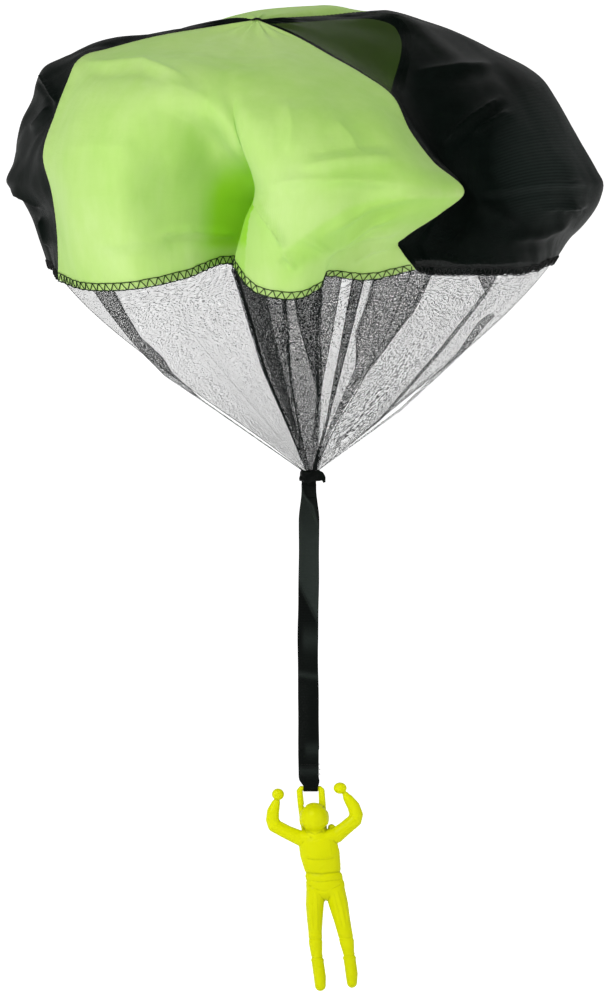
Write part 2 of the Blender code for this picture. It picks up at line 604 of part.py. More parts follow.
# legs and boots, toes down
limb(bm, [(fig(400, 850, 0.2), 66 * PX, 4.6 * MM), (fig(391, 950, 0.1), 61 * PX, 4.3 * MM),
          (fig(391, 1050, 0.0), 53 * PX, 3.9 * MM), (fig(393, 1130, -0.2), 46 * PX, 3.5 * MM),
          (fig(396, 1200, 0.3), 46 * PX, 3.5 * MM), (fig(402, 1275, 0.3), 39 * PX, 3.0 * MM)])
limb(bm, [(fig(406, 1302, 0.2), 40 * PX, 3.2 * MM), (fig(414, 1360, 0.0), 41 * PX, 3.4 * MM),
          (fig(424, 1430, -0.8), 41 * PX, 3.7 * MM), (fig(427, 1484, -1.6), 37 * PX, 2.9 * MM)])
limb(bm, [(fig(520, 850, 0.2), 68 * PX, 4.6 * MM), (fig(545, 950, 0.1), 65 * PX, 4.3 * MM),
          (fig(568, 1050, 0.0), 55 * PX, 3.9 * MM), (fig(586, 1130, -0.2), 50 * PX, 3.5 * MM),
          (fig(601, 1200, 0.3), 48 * PX, 3.5 * MM), (fig(611, 1262, 0.3), 39 * PX, 3.0 * MM)])
limb(bm, [(fig(615, 1290, 0.2), 41 * PX, 3.2 * MM), (fig(624, 1350, 0.0), 41 * PX, 3.4 * MM),
          (fig(632, 1410, -0.8), 41 * PX, 3.7 * MM), (fig(634, 1464, -1.6), 35 * PX, 2.9 * MM)])
# bail: two legs from behind the helmet, joined by the bar that the ribbon goes round
leg_y = 3.0
limb(bm, [(fig(291, 210, leg_y), 21 * PX, 1.3 * MM), (fig(300, 300, leg_y), 22 * PX, 1.4 * MM),
          (fig(318, 400, leg_y), 26 * PX, 1.8 * MM), (fig(340, 500, leg_y), 30 * PX, 2.4 * MM)])
limb(bm, [(fig(435, 206, leg_y), 21 * PX, 1.3 * MM), (fig(440, 300, leg_y), 24 * PX, 1.4 * MM),
          (fig(442, 400, leg_y), 28 * PX, 1.8 * MM), (fig(440, 500, leg_y), 32 * PX, 2.4 * MM)])
bar_v = (BAR_V - 760) * 6.533
limb(bm, [(fig(288, 206, leg_y), 15 * PX, 1.1 * MM), (fig(301, bar_v + 1, leg_y), BAR_R, BAR_R),
          (fig(425, bar_v + 1, leg_y), BAR_R, BAR_R), (fig(438, 203, leg_y), 15 * PX, 1.1 * MM)])
shape = bpy.data.meshes.new("paratrooper_figure")
bm.to_mesh(shape)
bm.free()
figure = add("paratrooper_figure", shape, YELLOW, figure_pivot)
melt = figure.modifiers.new("melt", "REMESH")
melt.mode = "VOXEL"
melt.voxel_size = 0.00042
melt.use_smooth_shade = True
soften = figure.modifiers.new("soften", "SMOOTH")
soften.factor = 0.5
soften.iterations = 3
lighten = figure.modifiers.new("lighten", "DECIMATE")
lighten.ratio = 0.07
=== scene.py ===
"""Toy paratrooper, as it looks: cloth canopy, net skirt, ribbon and moulded figure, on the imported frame.

Metres, +Z up, front towards -Y. The origin is the crown of the canopy.
"""
import math

import bmesh
import bpy
import numpy as np
from mathutils import Matrix, Vector


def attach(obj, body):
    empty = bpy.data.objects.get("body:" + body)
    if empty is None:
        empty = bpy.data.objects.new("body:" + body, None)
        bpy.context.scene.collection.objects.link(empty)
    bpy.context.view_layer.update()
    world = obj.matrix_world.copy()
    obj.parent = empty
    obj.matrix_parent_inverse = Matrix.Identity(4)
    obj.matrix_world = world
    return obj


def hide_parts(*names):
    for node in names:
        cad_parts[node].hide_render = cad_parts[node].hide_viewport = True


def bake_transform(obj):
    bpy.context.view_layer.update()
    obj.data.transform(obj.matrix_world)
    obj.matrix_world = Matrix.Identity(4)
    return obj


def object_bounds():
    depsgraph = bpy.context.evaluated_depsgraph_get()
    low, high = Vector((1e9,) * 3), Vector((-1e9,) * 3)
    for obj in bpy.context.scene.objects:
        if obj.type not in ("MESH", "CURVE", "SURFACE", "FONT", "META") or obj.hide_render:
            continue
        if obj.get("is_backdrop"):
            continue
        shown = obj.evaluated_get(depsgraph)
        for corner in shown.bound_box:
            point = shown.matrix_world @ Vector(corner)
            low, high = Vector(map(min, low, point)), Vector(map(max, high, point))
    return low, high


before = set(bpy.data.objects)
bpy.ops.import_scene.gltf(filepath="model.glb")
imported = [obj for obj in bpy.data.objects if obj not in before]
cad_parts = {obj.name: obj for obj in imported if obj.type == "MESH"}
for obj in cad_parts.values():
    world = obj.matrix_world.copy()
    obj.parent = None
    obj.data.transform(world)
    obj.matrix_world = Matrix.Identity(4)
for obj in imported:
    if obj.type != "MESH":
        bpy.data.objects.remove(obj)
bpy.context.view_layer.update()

# ---------------------------------------------------------------- driving sizes, as in the part
UNIT = 0.000478        # one unit of the front elevation used below
CROWN_U, CROWN_V = 257.0, 19.0
SIGHT = math.tan(math.radians(4.0))  # the elevation is drawn from 4 degrees above

CLOTH = 0.0004         # canopy cloth, with its coating
NET = 0.0003           # tulle
SEAM_R = 0.0009        # rolled seam allowance with its thread
NET_SEAM_R = 0.0007
SEAM_TRIM = 0.0014     # cloth stops this far from the seam line
NET_TRIM = 0.0012
HEM_TALL = 0.0034      # height of the overlocked band along the hem
HEM_THICK = 0.0012
GAP = 0.0003

GATHER = (311.0, 469.0, 5.0)   # where the net comes together
GATHER_R = 0.0040
RIBBON_WIDE = 0.0095   # 3/8 inch ribbon
RIBBON_THICK = 0.0007
BAR_R = 0.0011         # cross bar of the bail
BAR_U, BAR_V = 310.6, 789.0
HANG_DEPTH = 5.0       # the ribbon and the figure's bail hang this far behind the crown


def place(u, v, depth):
    """Front elevation units and a depth in millimetres, to metres in the part's frame."""
    y = depth / 1000.0
    return np.array([(u - CROWN_U) * UNIT, y, -(v - CROWN_V) * UNIT - y * SIGHT])


# ---------------------------------------------------------------- canopy surface
# Each rib runs down the cloth from the crown to the hem. The figures are the
# elevation's u and v, then the depth in millimetres, front negative.
CROWN = (257, 19, 0)
SEAM_FRONT_LEFT = [CROWN, (207, 27, -3), (156, 36, -8), (107, 49, -15), (84, 56, -21),
                   (77, 62, -24), (68, 82, -28), (56, 114, -34), (44, 158, -40), (52, 190, -39),
                   (58, 236, -36), (59, 277, -35)]
SEAM_FRONT_RIGHT = [CROWN, (296, 36, -8), (329, 55, -20), (363, 75, -36), (393, 98, -52),
                    (410, 133, -67), (432, 163, -78), (463, 195, -86), (441, 214, -84), (404, 239, -77),
                    (397, 245, -76), (401, 252, -75), (413, 268, -70)]
SEAM_BACK_RIGHT = [CROWN, (320, 14, 34), (381, 10, 62), (403, 22, 84), (408, 48, 100),
                   (398, 88, 112), (386, 140, 118), (380, 200, 118), (378, 254, 108)]
SEAM_BACK_LEFT = [CROWN, (238, 17, 14), (205, 23, 38), (176, 40, 66), (157, 70, 88),
                  (147, 112, 103), (141, 160, 110), (141, 210, 108), (146, 262, 100)]

FRONT = [
    SEAM_FRONT_LEFT,
    [CROWN, (210, 30, -8), (160, 44, -28), (118, 63, -50), (93, 100, -68), (80, 150, -76),
     (78, 200, -77), (84, 248, -74), (92, 287, -70)],
    [CROWN, (220, 33, -11), (182, 49, -36), (148, 67, -64), (130, 100, -84), (121, 145, -93),
     (120, 195, -93), (127, 245, -88), (138, 286, -86)],
    [CROWN, (230, 34, -13), (203, 51, -42), (178, 73, -72), (168, 105, -89), (168, 145, -87),
     (172, 190, -79), (180, 235, -73), (188, 275, -71)],
    [CROWN, (238, 35, -14), (218, 54, -44), (202, 80, -75), (202, 112, -87), (214, 148, -76),
     (228, 188, -60), (230, 225, -51), (229, 260, -46)],
    [CROWN, (243, 36, -15), (229, 56, -46), (218, 84, -78), (224, 114, -91), (240, 145, -90),
     (256, 184, -66), (262, 225, -38), (258, 262, -34)],
    [CROWN, (248, 36, -16), (242, 58, -48), (237, 86, -81), (240, 118, -95), (249, 156, -99),
     (258, 197, -96), (248, 228, -90), (237, 266, -82)],
    [CROWN, (258, 37, -17), (262, 60, -50), (264, 90, -84), (268, 128, -104), (276, 168, -113),
     (282, 210, -116), (272, 252, -110), (262, 292, -102)],
    [CROWN, (266, 37, -17), (279, 60, -50), (291, 92, -83), (300, 130, -106), (306, 172, -116),
     (308, 215, -118), (304, 255, -113), (297, 296, -106)],
    [CROWN, (272, 37, -16), (292, 61, -48), (312, 93, -80), (326, 132, -104), (336, 176, -115),
     (336, 220, -114), (326, 254, -106), (319, 286, -99)],
    [CROWN, (279, 37, -14), (306, 61, -42), (334, 93, -72), (354, 132, -96), (370, 178, -109),
     (360, 222, -104), (338, 252, -92), (326, 275, -84)],
    [CROWN, (288, 37, -11), (320, 58, -32), (352, 85, -56), (378, 118, -80), (404, 162, -97),
     (424, 196, -102), (394, 228, -94), (374, 254, -84), (366, 278, -77)],
    SEAM_FRONT_RIGHT,
]
RIGHT = [
    SEAM_FRONT_RIGHT,
    [CROWN, (304, 33, -2), (350, 52, -8), (392, 78, -18), (420, 106, -30), (436, 138, -42),
     (446, 172, -54), (444, 200, -58), (432, 232, -60), (428, 271, -62)],
    [CROWN, (320, 29, 6), (380, 43, 2), (430, 68, -8), (462, 102, -26), (482, 142, -44),
     (492, 185, -58), (486, 230, -63), (474, 272, -62)],
    [CROWN, (328, 24, 14), (395, 30, 16), (458, 54, 8), (506, 92, -10), (536, 136, -28),
     (552, 182, -42), (540, 230, -44), (522, 271, -42)],
    [CROWN, (334, 20, 20), (399, 14, 28), (440, 25, 32), (490, 50, 32), (527, 69, 26), (540, 79, 22),
     (554, 100, 14), (574, 137, 3), (594, 172, -5), (600, 183, -6), (597, 199, -7), (580, 224, -8),
     (562, 243, -8), (552, 261, -8)],
    [CROWN, (334, 17, 25), (398, 12, 40), (448, 34, 60), (508, 76, 66), (550, 124, 60),
     (574, 172, 54), (578, 208, 48), (560, 240, 40), (548, 257, 38)],
    [CROWN, (331, 15, 29), (395, 11, 50), (436, 36, 76), (474, 82, 90), (496, 138, 94),
     (504, 194, 90), (492, 232, 82), (482, 257, 78)],
    [CROWN, (326, 14, 32), (389, 10, 57), (421, 30, 83), (438, 66, 100), (440, 118, 110),
     (446, 180, 113), (430, 228, 104), (428, 254, 98)],
    SEAM_BACK_RIGHT,
]
BACK = [
    SEAM_BACK_RIGHT,
    [CROWN, (304, 11, 28), (350, 6, 54), (366, 20, 84), (366, 52, 107), (358, 100, 122),
     (352, 155, 128), (346, 210, 124), (344, 252, 112)],
    [CROWN, (290, 10, 29), (316, 6, 58), (326, 22, 90), (326, 56, 115), (320, 108, 130),
     (316, 165, 132), (308, 215, 124), (306, 254, 108)],
    [CROWN, (276, 12, 28), (288, 7, 58), (290, 26, 92), (286, 62, 117), (276, 112, 132),
     (270, 168, 136), (268, 215, 132), (268, 254, 122)],
    [CROWN, (262, 12, 26), (258, 11, 55), (252, 32, 88), (244, 66, 112), (236, 114, 126),
     (230, 168, 128), (228, 215, 120), (230, 258, 106)],
    [CROWN, (250, 14, 22), (232, 16, 48), (212, 36, 80), (200, 70, 103), (190, 114, 118),
     (184, 165, 124), (186, 212, 122), (190, 258, 112)],
    SEAM_BACK_LEFT,
]
LEFT = [
    SEAM_BACK_LEFT,
    [CROWN, (230, 18, 12), (186, 27, 32), (144, 46, 54), (116, 80, 74), (100, 128, 84),
     (94, 180, 84), (98, 225, 78), (106, 264, 70)],
    [CROWN, (226, 19, 8), (172, 28, 20), (112, 46, 36), (70, 78, 50), (50, 118, 56),
     (42, 165, 58), (48, 205, 50), (64, 240, 44), (72, 266, 40)],
    [CROWN, (222, 20, 3), (167, 30, 8), (88, 47, 14), (62, 58, 14), (43, 69, 14), (38, 80, 15),
     (35, 96, 16), (23, 121, 18), (17, 142, 17), (13, 161, 15), (6, 181, 10), (22, 200, 6),
     (31, 217, 4), (38, 238, 2), (46, 264, 0)],
    [CROWN, (218, 23, 0), (160, 33, 0), (90, 50, -4), (50, 80, -8), (40, 112, -10),
     (28, 158, -12), (26, 184, -14), (44, 206, -17), (50, 238, -18), (54, 268, -18)],
    SEAM_FRONT_LEFT,
]
GORES = [("front", FRONT), ("right", RIGHT), ("back", BACK), ("left", LEFT)]
DENSE = 361
# The slack cloth at the back hangs in flutes: first rib, last rib, waves, depth.
FLUTES = {"back": [(0.0, 6.0, 3, 0.0105)], "left": [(0.0, 2.7, 2, 0.0105)], "right": [(5.2, 8.0, 2, 0.006)]}
AXIS_X, AXIS_Y = 0.022, 0.008          # the canopy's middle, seen from above


def tangents(p):
    """Slopes along each row of points, allowing for uneven spacing. p is (rows, points, 3)."""
    step = np.linalg.norm(np.diff(p, axis=1), axis=2)[..., None] + 1e-9
    slope = np.diff(p, axis=1) / step
    m = np.empty_like(p)
    m[:, 0], m[:, -1] = slope[:, 0], slope[:, -1]
    m[:, 1:-1] = (slope[:, :-1] * step[:, 1:] + slope[:, 1:] * step[:, :-1]) / (step[:, :-1] + step[:, 1:])
    return m, step


def hermite(p, m, step, at):
    """The smooth curve through each row of p, at the parameters in at, which count the points."""
    i = np.clip(np.floor(at).astype(int), 0, p.shape[1] - 2)
    f = (at - i)[..., None]
    r = np.arange(p.shape[0])[:, None]
    a, b = p[r, i], p[r, i + 1]
    ma, mb = m[r, i] * step[r, i], m[r, i + 1] * step[r, i]
    return ((2 * f**3 - 3 * f**2 + 1) * a + (f**3 - 2 * f**2 + f) * ma
            + (-2 * f**3 + 3 * f**2) * b + (f**3 - f**2) * mb)


def rib(points):
    """DENSE points evenly spaced along one rib, in metres."""
    p = np.array([place(*q) for q in points])[None]
    m, step = tangents(p)
    fine = hermite(p, m, step, np.linspace(0, len(points) - 1, 40 * (len(points) - 1) + 1)[None])[0]
    run = np.concatenate([[0], np.cumsum(np.linalg.norm(np.diff(fine, axis=0), axis=1))])
    want = np.linspace(0, run[-1], DENSE)
    return np.stack([np.interp(want, run, fine[:, k]) for k in range(3)], axis=1)


class Gore:
    """One panel of the canopy: across counts its ribs, down runs from 0 at the crown to 1 at the hem."""

    def __init__(self, ribs, flutes=()):
        self.flutes = flutes
        self.ribs = np.array([rib(r) for r in ribs]).transpose(1, 0, 2)  # (down, rib, 3)
        self.m, self.step = tangents(self.ribs)
        self.last = self.ribs.shape[1] - 1

    def at(self, across, down):
        """across (rows, points) and down (rows) to points (rows, points, 3)."""
        x = np.asarray(down) * (DENSE - 1)
        i = np.clip(np.floor(x).astype(int), 0, DENSE - 2)
        f = (x - i)[:, None, None]
        a = hermite(self.ribs[i], self.m[i], self.step[i], across)
        b = hermite(self.ribs[i + 1], self.m[i + 1], self.step[i + 1], across)
        p = a * (1 - f) + b * f
        for first, last, waves, deep in self.flutes:
            x = np.clip((across - first) / (last - first), 0, 1)
            grow = np.clip((np.asarray(down)[:, None] - 0.35) / 0.6, 0, 1)
            grow = grow * grow * (3 - 2 * grow)
            out = p - np.array([AXIS_X, AXIS_Y, 0])
            out[..., 2] = 0
            out /= np.linalg.norm(out, axis=2)[..., None] + 1e-9
            p = p + out * (deep * grow * np.sin(2 * math.pi * waves * x))[..., None]
        return p


def trimmed(row_points, spread, trim):
    """Where a row of points stands trim metres in from each end, as the share of spread."""
    run = np.concatenate([[0], np.cumsum(np.linalg.norm(np.diff(row_points, axis=0), axis=1))])
    return np.interp(trim, run, spread), np.interp(run[-1] - trim, run, spread)



# ---------------------------------------------------------------- mesh helpers
def smooth(x, a=0.0, b=1.0):
    t = np.clip((np.asarray(x, float) - a) / (b - a), 0, 1)
    return t * t * (3 - 2 * t)


def noise(x, y, seed=0):
    """Smooth value noise in -1..1 over a 2D lattice, the same on every run."""
    x, y = np.broadcast_arrays(np.asarray(x, float), np.asarray(y, float))
    i, j = np.floor(x).astype(np.int64), np.floor(y).astype(np.int64)
    fx, fy = x - i, y - j
    fx, fy = fx * fx * (3 - 2 * fx), fy * fy * (3 - 2 * fy)

    def at(a, b):
        n = (a * 374761393 + b * 668265263 + seed * 1442695041) & 0xFFFFFFFF
        n = ((n ^ (n >> 13)) * 1274126177) & 0xFFFFFFFF
        return ((n ^ (n >> 16)) & 0xFFFF) / 32767.5 - 1.0

    return ((at(i, j) * (1 - fx) + at(i + 1, j) * fx) * (1 - fy)
            + (at(i, j + 1) * (1 - fx) + at(i + 1, j + 1) * fx) * fy)


def grid_faces(rows, columns, base=0, closed=False):
    r = np.arange(rows - 1)[:, None]
    c = np.arange(columns if closed else columns - 1)[None]
    n = (c + 1) % columns
    return (base + np.stack([r * columns + c, r * columns + n, (r + 1) * columns + n, (r + 1) * columns + c],
                            axis=-1)).reshape(-1, 4)


def piece(name, points, faces, mats, uv=None, face_mats=None, merge=0.0, values=None, shade=True):
    """An object from arrays: points (n, 3), faces, one uv and one value per point."""
    data = bpy.data.meshes.new(name)
    data.from_pydata(np.asarray(points, float).reshape(-1, 3).tolist(), [], [list(map(int, f)) for f in faces])
    for m in mats if isinstance(mats, (list, tuple)) else [mats]:
        data.materials.append(m)
    if uv is not None:
        layer = data.uv_layers.new(name="flat")
        index = np.empty(len(data.loops), np.int32)
        data.loops.foreach_get("vertex_index", index)
        layer.data.foreach_set("uv", np.asarray(uv, np.float32).reshape(-1, 2)[index].ravel())
    if values is not None:
        for key, v in values.items():
            data.attributes.new(key, "FLOAT", "POINT").data.foreach_set("value", np.asarray(v, np.float32).ravel())
    if face_mats is not None:
        data.polygons.foreach_set("material_index", np.asarray(face_mats, np.int32))
    if merge:
        bm = bmesh.new()
        bm.from_mesh(data)
        bmesh.ops.remove_doubles(bm, verts=bm.verts, dist=merge)
        bm.to_mesh(data)
        bm.free()
    if shade:
        data.polygons.foreach_set("use_smooth", np.ones(len(data.polygons), bool))
    data.update()
    obj = bpy.data.objects.new(name, data)
    bpy.context.scene.collection.objects.link(obj)
    return obj


def normalised(v):
    return v / (np.linalg.norm(v, axis=-1, keepdims=True) + 1e-12)


def grid_normals(p):
    """Outward normals of a grid laid crown to hem and left to right."""
    across = np.gradient(p, axis=1)
    down = np.gradient(p, axis=0)
    return normalised(np.cross(down, across))


def tube(path, radius, ref, sides=6, caps=True):
    """A round thread along path. ref holds a direction at each point that isn't along the thread."""
    path = np.asarray(path, float)
    n = len(path)
    t = normalised(np.gradient(path, axis=0))
    ref = np.broadcast_to(np.asarray(ref, float), path.shape)
    side = normalised(np.cross(t, ref))
    up = np.cross(side, t)
    radius = np.broadcast_to(np.asarray(radius, float), (n,))
    a = np.linspace(0, 2 * math.pi, sides, endpoint=False)
    ring = (path[:, None] + radius[:, None, None] * (np.cos(a)[None, :, None] * side[:, None]
                                                    + np.sin(a)[None, :, None] * up[:, None]))
    faces = [list(f) for f in grid_faces(n, sides, closed=True)]
    if caps:
        faces.append(list(range(sides))[::-1])
        faces.append([(n - 1) * sides + k for k in range(sides)])
    return ring.reshape(-1, 3), faces


def gathered(parts):
    """Several (points, faces) as one."""
    points, faces, base = [], [], 0
    for p, f in parts:
        points.append(p)
        faces += [[base + i for i in one] for one in f]
        base += len(p)
    return np.concatenate(points), faces


def arc(points, axis):
    """Running length of a grid's lines along axis."""
    d = np.linalg.norm(np.diff(points, axis=axis), axis=2)
    pad = [(0, 0), (0, 0)]
    pad[axis] = (1, 0)
    return np.pad(np.cumsum(d, axis=axis), pad)


def elevation(p):
    """Metres back to the front elevation's u and v."""
    return p[..., 0] / UNIT + CROWN_U, CROWN_V - (p[..., 2] + p[..., 1] * SIGHT) / UNIT


def from_line(u, v, line):
    """Distance in units from a polyline, the side (left negative, looking along it) and how far along it."""
    best = np.full(np.shape(u), 1e9)
    side = np.zeros(np.shape(u))
    along = np.zeros(np.shape(u))
    run = 0.0
    for (a, b), (c, d) in zip(line, line[1:]):
        ex, ey = c - a, d - b
        length = math.hypot(ex, ey)
        t = np.clip(((u - a) * ex + (v - b) * ey) / length ** 2, 0, 1)
        far = np.hypot(u - a - t * ex, v - b - t * ey)
        s = np.sign(ex * (v - b) - ey * (u - a))
        near = far < best
        best = np.where(near, far, best)
        side = np.where(near, s, side)
        along = np.where(near, run + t * length, along)
        run += length
    return best, side, along / run


# ---------------------------------------------------------------- materials
class Nodes:
    """A small helper that builds one material's node tree."""

    def __init__(self, name):
        self.m = bpy.data.materials.new(name)
        self.m.use_nodes = True
        self.t = self.m.node_tree
        self.t.nodes.clear()
        self.out = self.t.nodes.new("ShaderNodeOutputMaterial")

    def new(self, kind, inputs=None, **settings):
        n = self.t.nodes.new(kind)
        for k, v in settings.items():
            setattr(n, k, v)
        for k, v in (inputs or {}).items():
            if isinstance(v, bpy.types.NodeSocket):
                self.t.links.new(v, n.inputs[k])
            else:
                n.inputs[k].default_value = v
        return n

    def math(self, op, a, b=None, clamp=False):
        n = self.t.nodes.new("ShaderNodeMath")
        n.operation = op
        n.use_clamp = clamp
        for k, v in enumerate((a, b)):
            if v is None:
                continue
            if isinstance(v, bpy.types.NodeSocket):
                self.t.links.new(v, n.inputs[k])
            else:
                n.inputs[k].default_value = v
        return n.outputs[0]

    def ramp(self, factor, stops):
        n = self.t.nodes.new("ShaderNodeValToRGB")
        self.t.links.new(factor, n.inputs[0])
        e = n.color_ramp.elements
        while len(e) > 1:
            e.remove(e[-1])
        e[0].position, e[0].color = stops[0][0], (*stops[0][1], 1)
        for pos, col in stops[1:]:
            e.new(pos).color = (*col, 1)
        return n.outputs[0]

    def noise(self, scale, detail=2.0, rough=0.5, coords="Object", stretch=(1, 1, 1)):
        c = self.new("ShaderNodeTexCoord").outputs[coords]
        mp = self.new("ShaderNodeMapping", {"Vector": c, "Scale": stretch})
        return self.new("ShaderNodeTexNoise", {"Vector": mp.outputs[0], "Scale": scale, "Detail": detail,
                                               "Roughness": rough}).outputs["Fac"]

    def weave(self, pitch, layer="flat", turn=0.0):
        """A plain weave's height, 0 to 1, from the flat pattern's coordinates in metres."""
        uv = self.new("ShaderNodeUVMap", uv_map=layer).outputs[0]
        if turn:
            uv = self.new("ShaderNodeVectorRotate", {"Vector": uv, "Angle": turn}, rotation_type="Z_AXIS").outputs[0]
        s = self.new("ShaderNodeSeparateXYZ", {"Vector": uv})
        k = 2 * math.pi / pitch
        x = self.math("SINE", self.math("MULTIPLY", s.outputs[0], k))
        y = self.math("SINE", self.math("MULTIPLY", s.outputs[1], k))
        return self.math("ADD", self.math("MULTIPLY", self.math("MULTIPLY", x, y), 0.5), 0.5)

    def bump(self, height, distance, strength=1.0, normal=None):
        inputs = {"Height": height, "Distance": distance, "Strength": strength}
        if normal is not None:
            inputs["Normal"] = normal
        return self.new("ShaderNodeBump", inputs).outputs[0]

    def mix_colour(self, factor, a, b):
        n = self.t.nodes.new("ShaderNodeMix")
        n.data_type = "RGBA"
        for k, v in ((0, factor), (6, a), (7, b)):
            if isinstance(v, bpy.types.NodeSocket):
                self.t.links.new(v, n.inputs[k])
            else:
                n.inputs[k].default_value = (*v, 1) if k and len(v) == 3 else v
        return n.outputs[2]

    def finish(self, shader):
        self.t.links.new(shader, self.out.inputs["Surface"])
        return self.m


def green_nylon():
    n = Nodes("green_nylon")
    large = n.noise(14.0, 2.0, 0.5)
    fine = n.noise(120.0, 3.0, 0.6, stretch=(1, 1, 0.35))
    tone = n.math("ADD", n.math("MULTIPLY", large, 0.7), n.math("MULTIPLY", fine, 0.3))
    colour = n.ramp(tone, [(0.34, GREEN_DEEP), (0.50, GREEN_MID), (0.66, GREEN_PALE)])
    weave = n.weave(0.00055)
    colour = n.mix_colour(n.math("MULTIPLY", weave, 0.10), colour, (0.20, 0.46, 0.05))
    # painted shade: where the cloth lies close to itself in the deep fold, and on the lobe's creased facets, the fold
    # value turns the colour a darker, saturated green
    deep = n.new("ShaderNodeAttribute", attribute_name="fold").outputs["Fac"]
    colour = n.mix_colour(deep, colour, (0.31, 0.68, 0.0))
    wrinkle = n.bump(n.noise(150.0, 4.0, 0.6, stretch=(0.3, 0.3, 1.0)), 0.0005, 0.5)
    normal = n.bump(weave, 0.00006, 0.5, wrinkle)
    face = n.new("ShaderNodeBsdfPrincipled", {"Base Color": colour, "Roughness": 0.66, "Normal": normal,
                                              "Sheen Weight": 0.12, "Sheen Roughness": 0.6,
                                              "Specular IOR Level": 0.32})
    through = n.new("ShaderNodeBsdfTranslucent", {"Color": n.mix_colour(0.5, colour, GREEN_THROUGH), "Normal": normal})
    return n.finish(n.new("ShaderNodeMixShader", {0: GREEN_LETS, 1: face.outputs[0], 2: through.outputs[0]}).outputs[0])


def black_nylon():
    n = Nodes("black_nylon")
    weave = n.weave(0.00060, turn=0.12)
    fine = n.noise(160.0, 3.0, 0.6)
    colour = n.ramp(n.math("ADD", n.math("MULTIPLY", fine, 0.6), n.math("MULTIPLY", weave, 0.4)),
                    [(0.25, (0.0002, 0.0012, 0.0006)), (0.75, (0.0018, 0.0042, 0.0030))])
    # two layers of the weave beat against each other near the right edge
    s = n.new("ShaderNodeSeparateXYZ", {"Vector": n.new("ShaderNodeTexCoord").outputs["Object"]})
    x, z = n.math("SUBTRACT", s.outputs[0], 0.140), n.math("ADD", s.outputs[2], 0.062)
    xx, zz = n.math("MULTIPLY", x, x), n.math("MULTIPLY", z, z)
    beat = n.math("SINE", n.math("MULTIPLY", n.math("ADD", n.math("MULTIPLY", xx, 7.0), z), 2 * math.pi / 0.00145))
    where = n.math("SUBTRACT", 1.0, n.math("ADD", n.math("MULTIPLY", xx, 1100.0), n.math("MULTIPLY", zz, 700.0)), clamp=True)
    where = n.math("MULTIPLY", where, n.math("ADD", n.math("MULTIPLY", beat, 0.16), 0.42))
    colour = n.mix_colour(where, colour, (0.022, 0.030, 0.027))
    wrinkle = n.bump(n.noise(260.0, 3.0, 0.55), 0.0002, 0.5)
    normal = n.bump(weave, 0.00008, 0.6, wrinkle)
    face = n.new("ShaderNodeBsdfPrincipled", {"Base Color": colour, "Roughness": 0.46, "Normal": normal,
                                              "Sheen Weight": 0.0, "IOR": 1.25, "Specular IOR Level": 0.10})
    hole = n.new("ShaderNodeBsdfTransparent")
    layers = n.new("ShaderNodeAttribute", attribute_name="lets").outputs["Fac"]
    open_ = n.math("MULTIPLY", n.math("ADD", n.math("MULTIPLY", weave, -1.2), 1.6), BLACK_LETS)
    open_ = n.math("MULTIPLY", open_, layers)
    return n.finish(n.new("ShaderNodeMixShader", {0: open_, 1: face.outputs[0], 2: hole.outputs[0]}).outputs[0])


def tulle():
    """Hexagonal net: thread along the cell edges, open between. A point value says how heavy the thread is."""
    n = Nodes("black_tulle")
    uv = n.new("ShaderNodeUVMap", uv_map="flat").outputs[0]
    wob = n.new("ShaderNodeTexNoise", {"Vector": uv, "Scale": 420.0, "Detail": 1.0}).outputs["Color"]
    wob = n.new("ShaderNodeVectorMath", {0: wob, 1: (0.5, 0.5, 0.5)}, operation="SUBTRACT").outputs[0]
    scaled = n.new("ShaderNodeVectorMath", {0: uv, "Scale": 1 / NET_PITCH}, operation="SCALE").outputs[0]
    wob = n.new("ShaderNodeVectorMath", {0: wob, "Scale": 0.9}, operation="SCALE").outputs[0]
    scaled = n.new("ShaderNodeVectorMath", {0: scaled, 1: wob}, operation="ADD").outputs[0]
    size = (1.0, math.sqrt(3), 1.0)
    half = (0.5, math.sqrt(3) / 2, 0.5)

    def cell(v):
        w = n.new("ShaderNodeVectorMath", {0: v, 1: half, 2: (-half[0], -half[1], -half[2])}, operation="WRAP").outputs[0]
        s = n.new("ShaderNodeSeparateXYZ", {"Vector": w})
        x, y = n.math("ABSOLUTE", s.outputs[0]), n.math("ABSOLUTE", s.outputs[1])
        far = n.math("MAXIMUM", x, n.math("ADD", n.math("MULTIPLY", x, 0.5), n.math("MULTIPLY", y, math.sqrt(3) / 2)))
        return far

    a = cell(scaled)
    b = cell(n.new("ShaderNodeVectorMath", {0: scaled, 1: half}, operation="ADD").outputs[0])
    edge = n.math("MINIMUM", a, b)
    heavy = n.new("ShaderNodeAttribute", attribute_name="heavy").outputs["Fac"]
    patchy = n.new("ShaderNodeTexNoise", {"Vector": uv, "Scale": 1750.0, "Detail": 0.0, "Roughness": 0.5}).outputs["Fac"]
    patchy = n.math("ADD", n.math("MULTIPLY", n.math("SUBTRACT", patchy, 0.5), 11.0), 1.0)
    heavy = n.math("MULTIPLY", heavy, n.math("MINIMUM", n.math("MAXIMUM", patchy, 0.0), 3.8))
    limit = n.math("SUBTRACT", 0.5, n.math("MULTIPLY", heavy, NET_THREAD))
    solid = n.math("GREATER_THAN", edge, limit)
    tint = n.ramp(n.noise(700.0, 2.0), [(0.3, (0.004, 0.005, 0.005)), (0.7, (0.016, 0.018, 0.018))])
    thread = n.new("ShaderNodeBsdfPrincipled", {"Base Color": tint, "Roughness": 0.6, "Specular IOR Level": 0.05})
    hole = n.new("ShaderNodeBsdfTransparent")
    return n.finish(n.new("ShaderNodeMixShader", {0: solid, 1: hole.outputs[0], 2: thread.outputs[0]}).outputs[0])


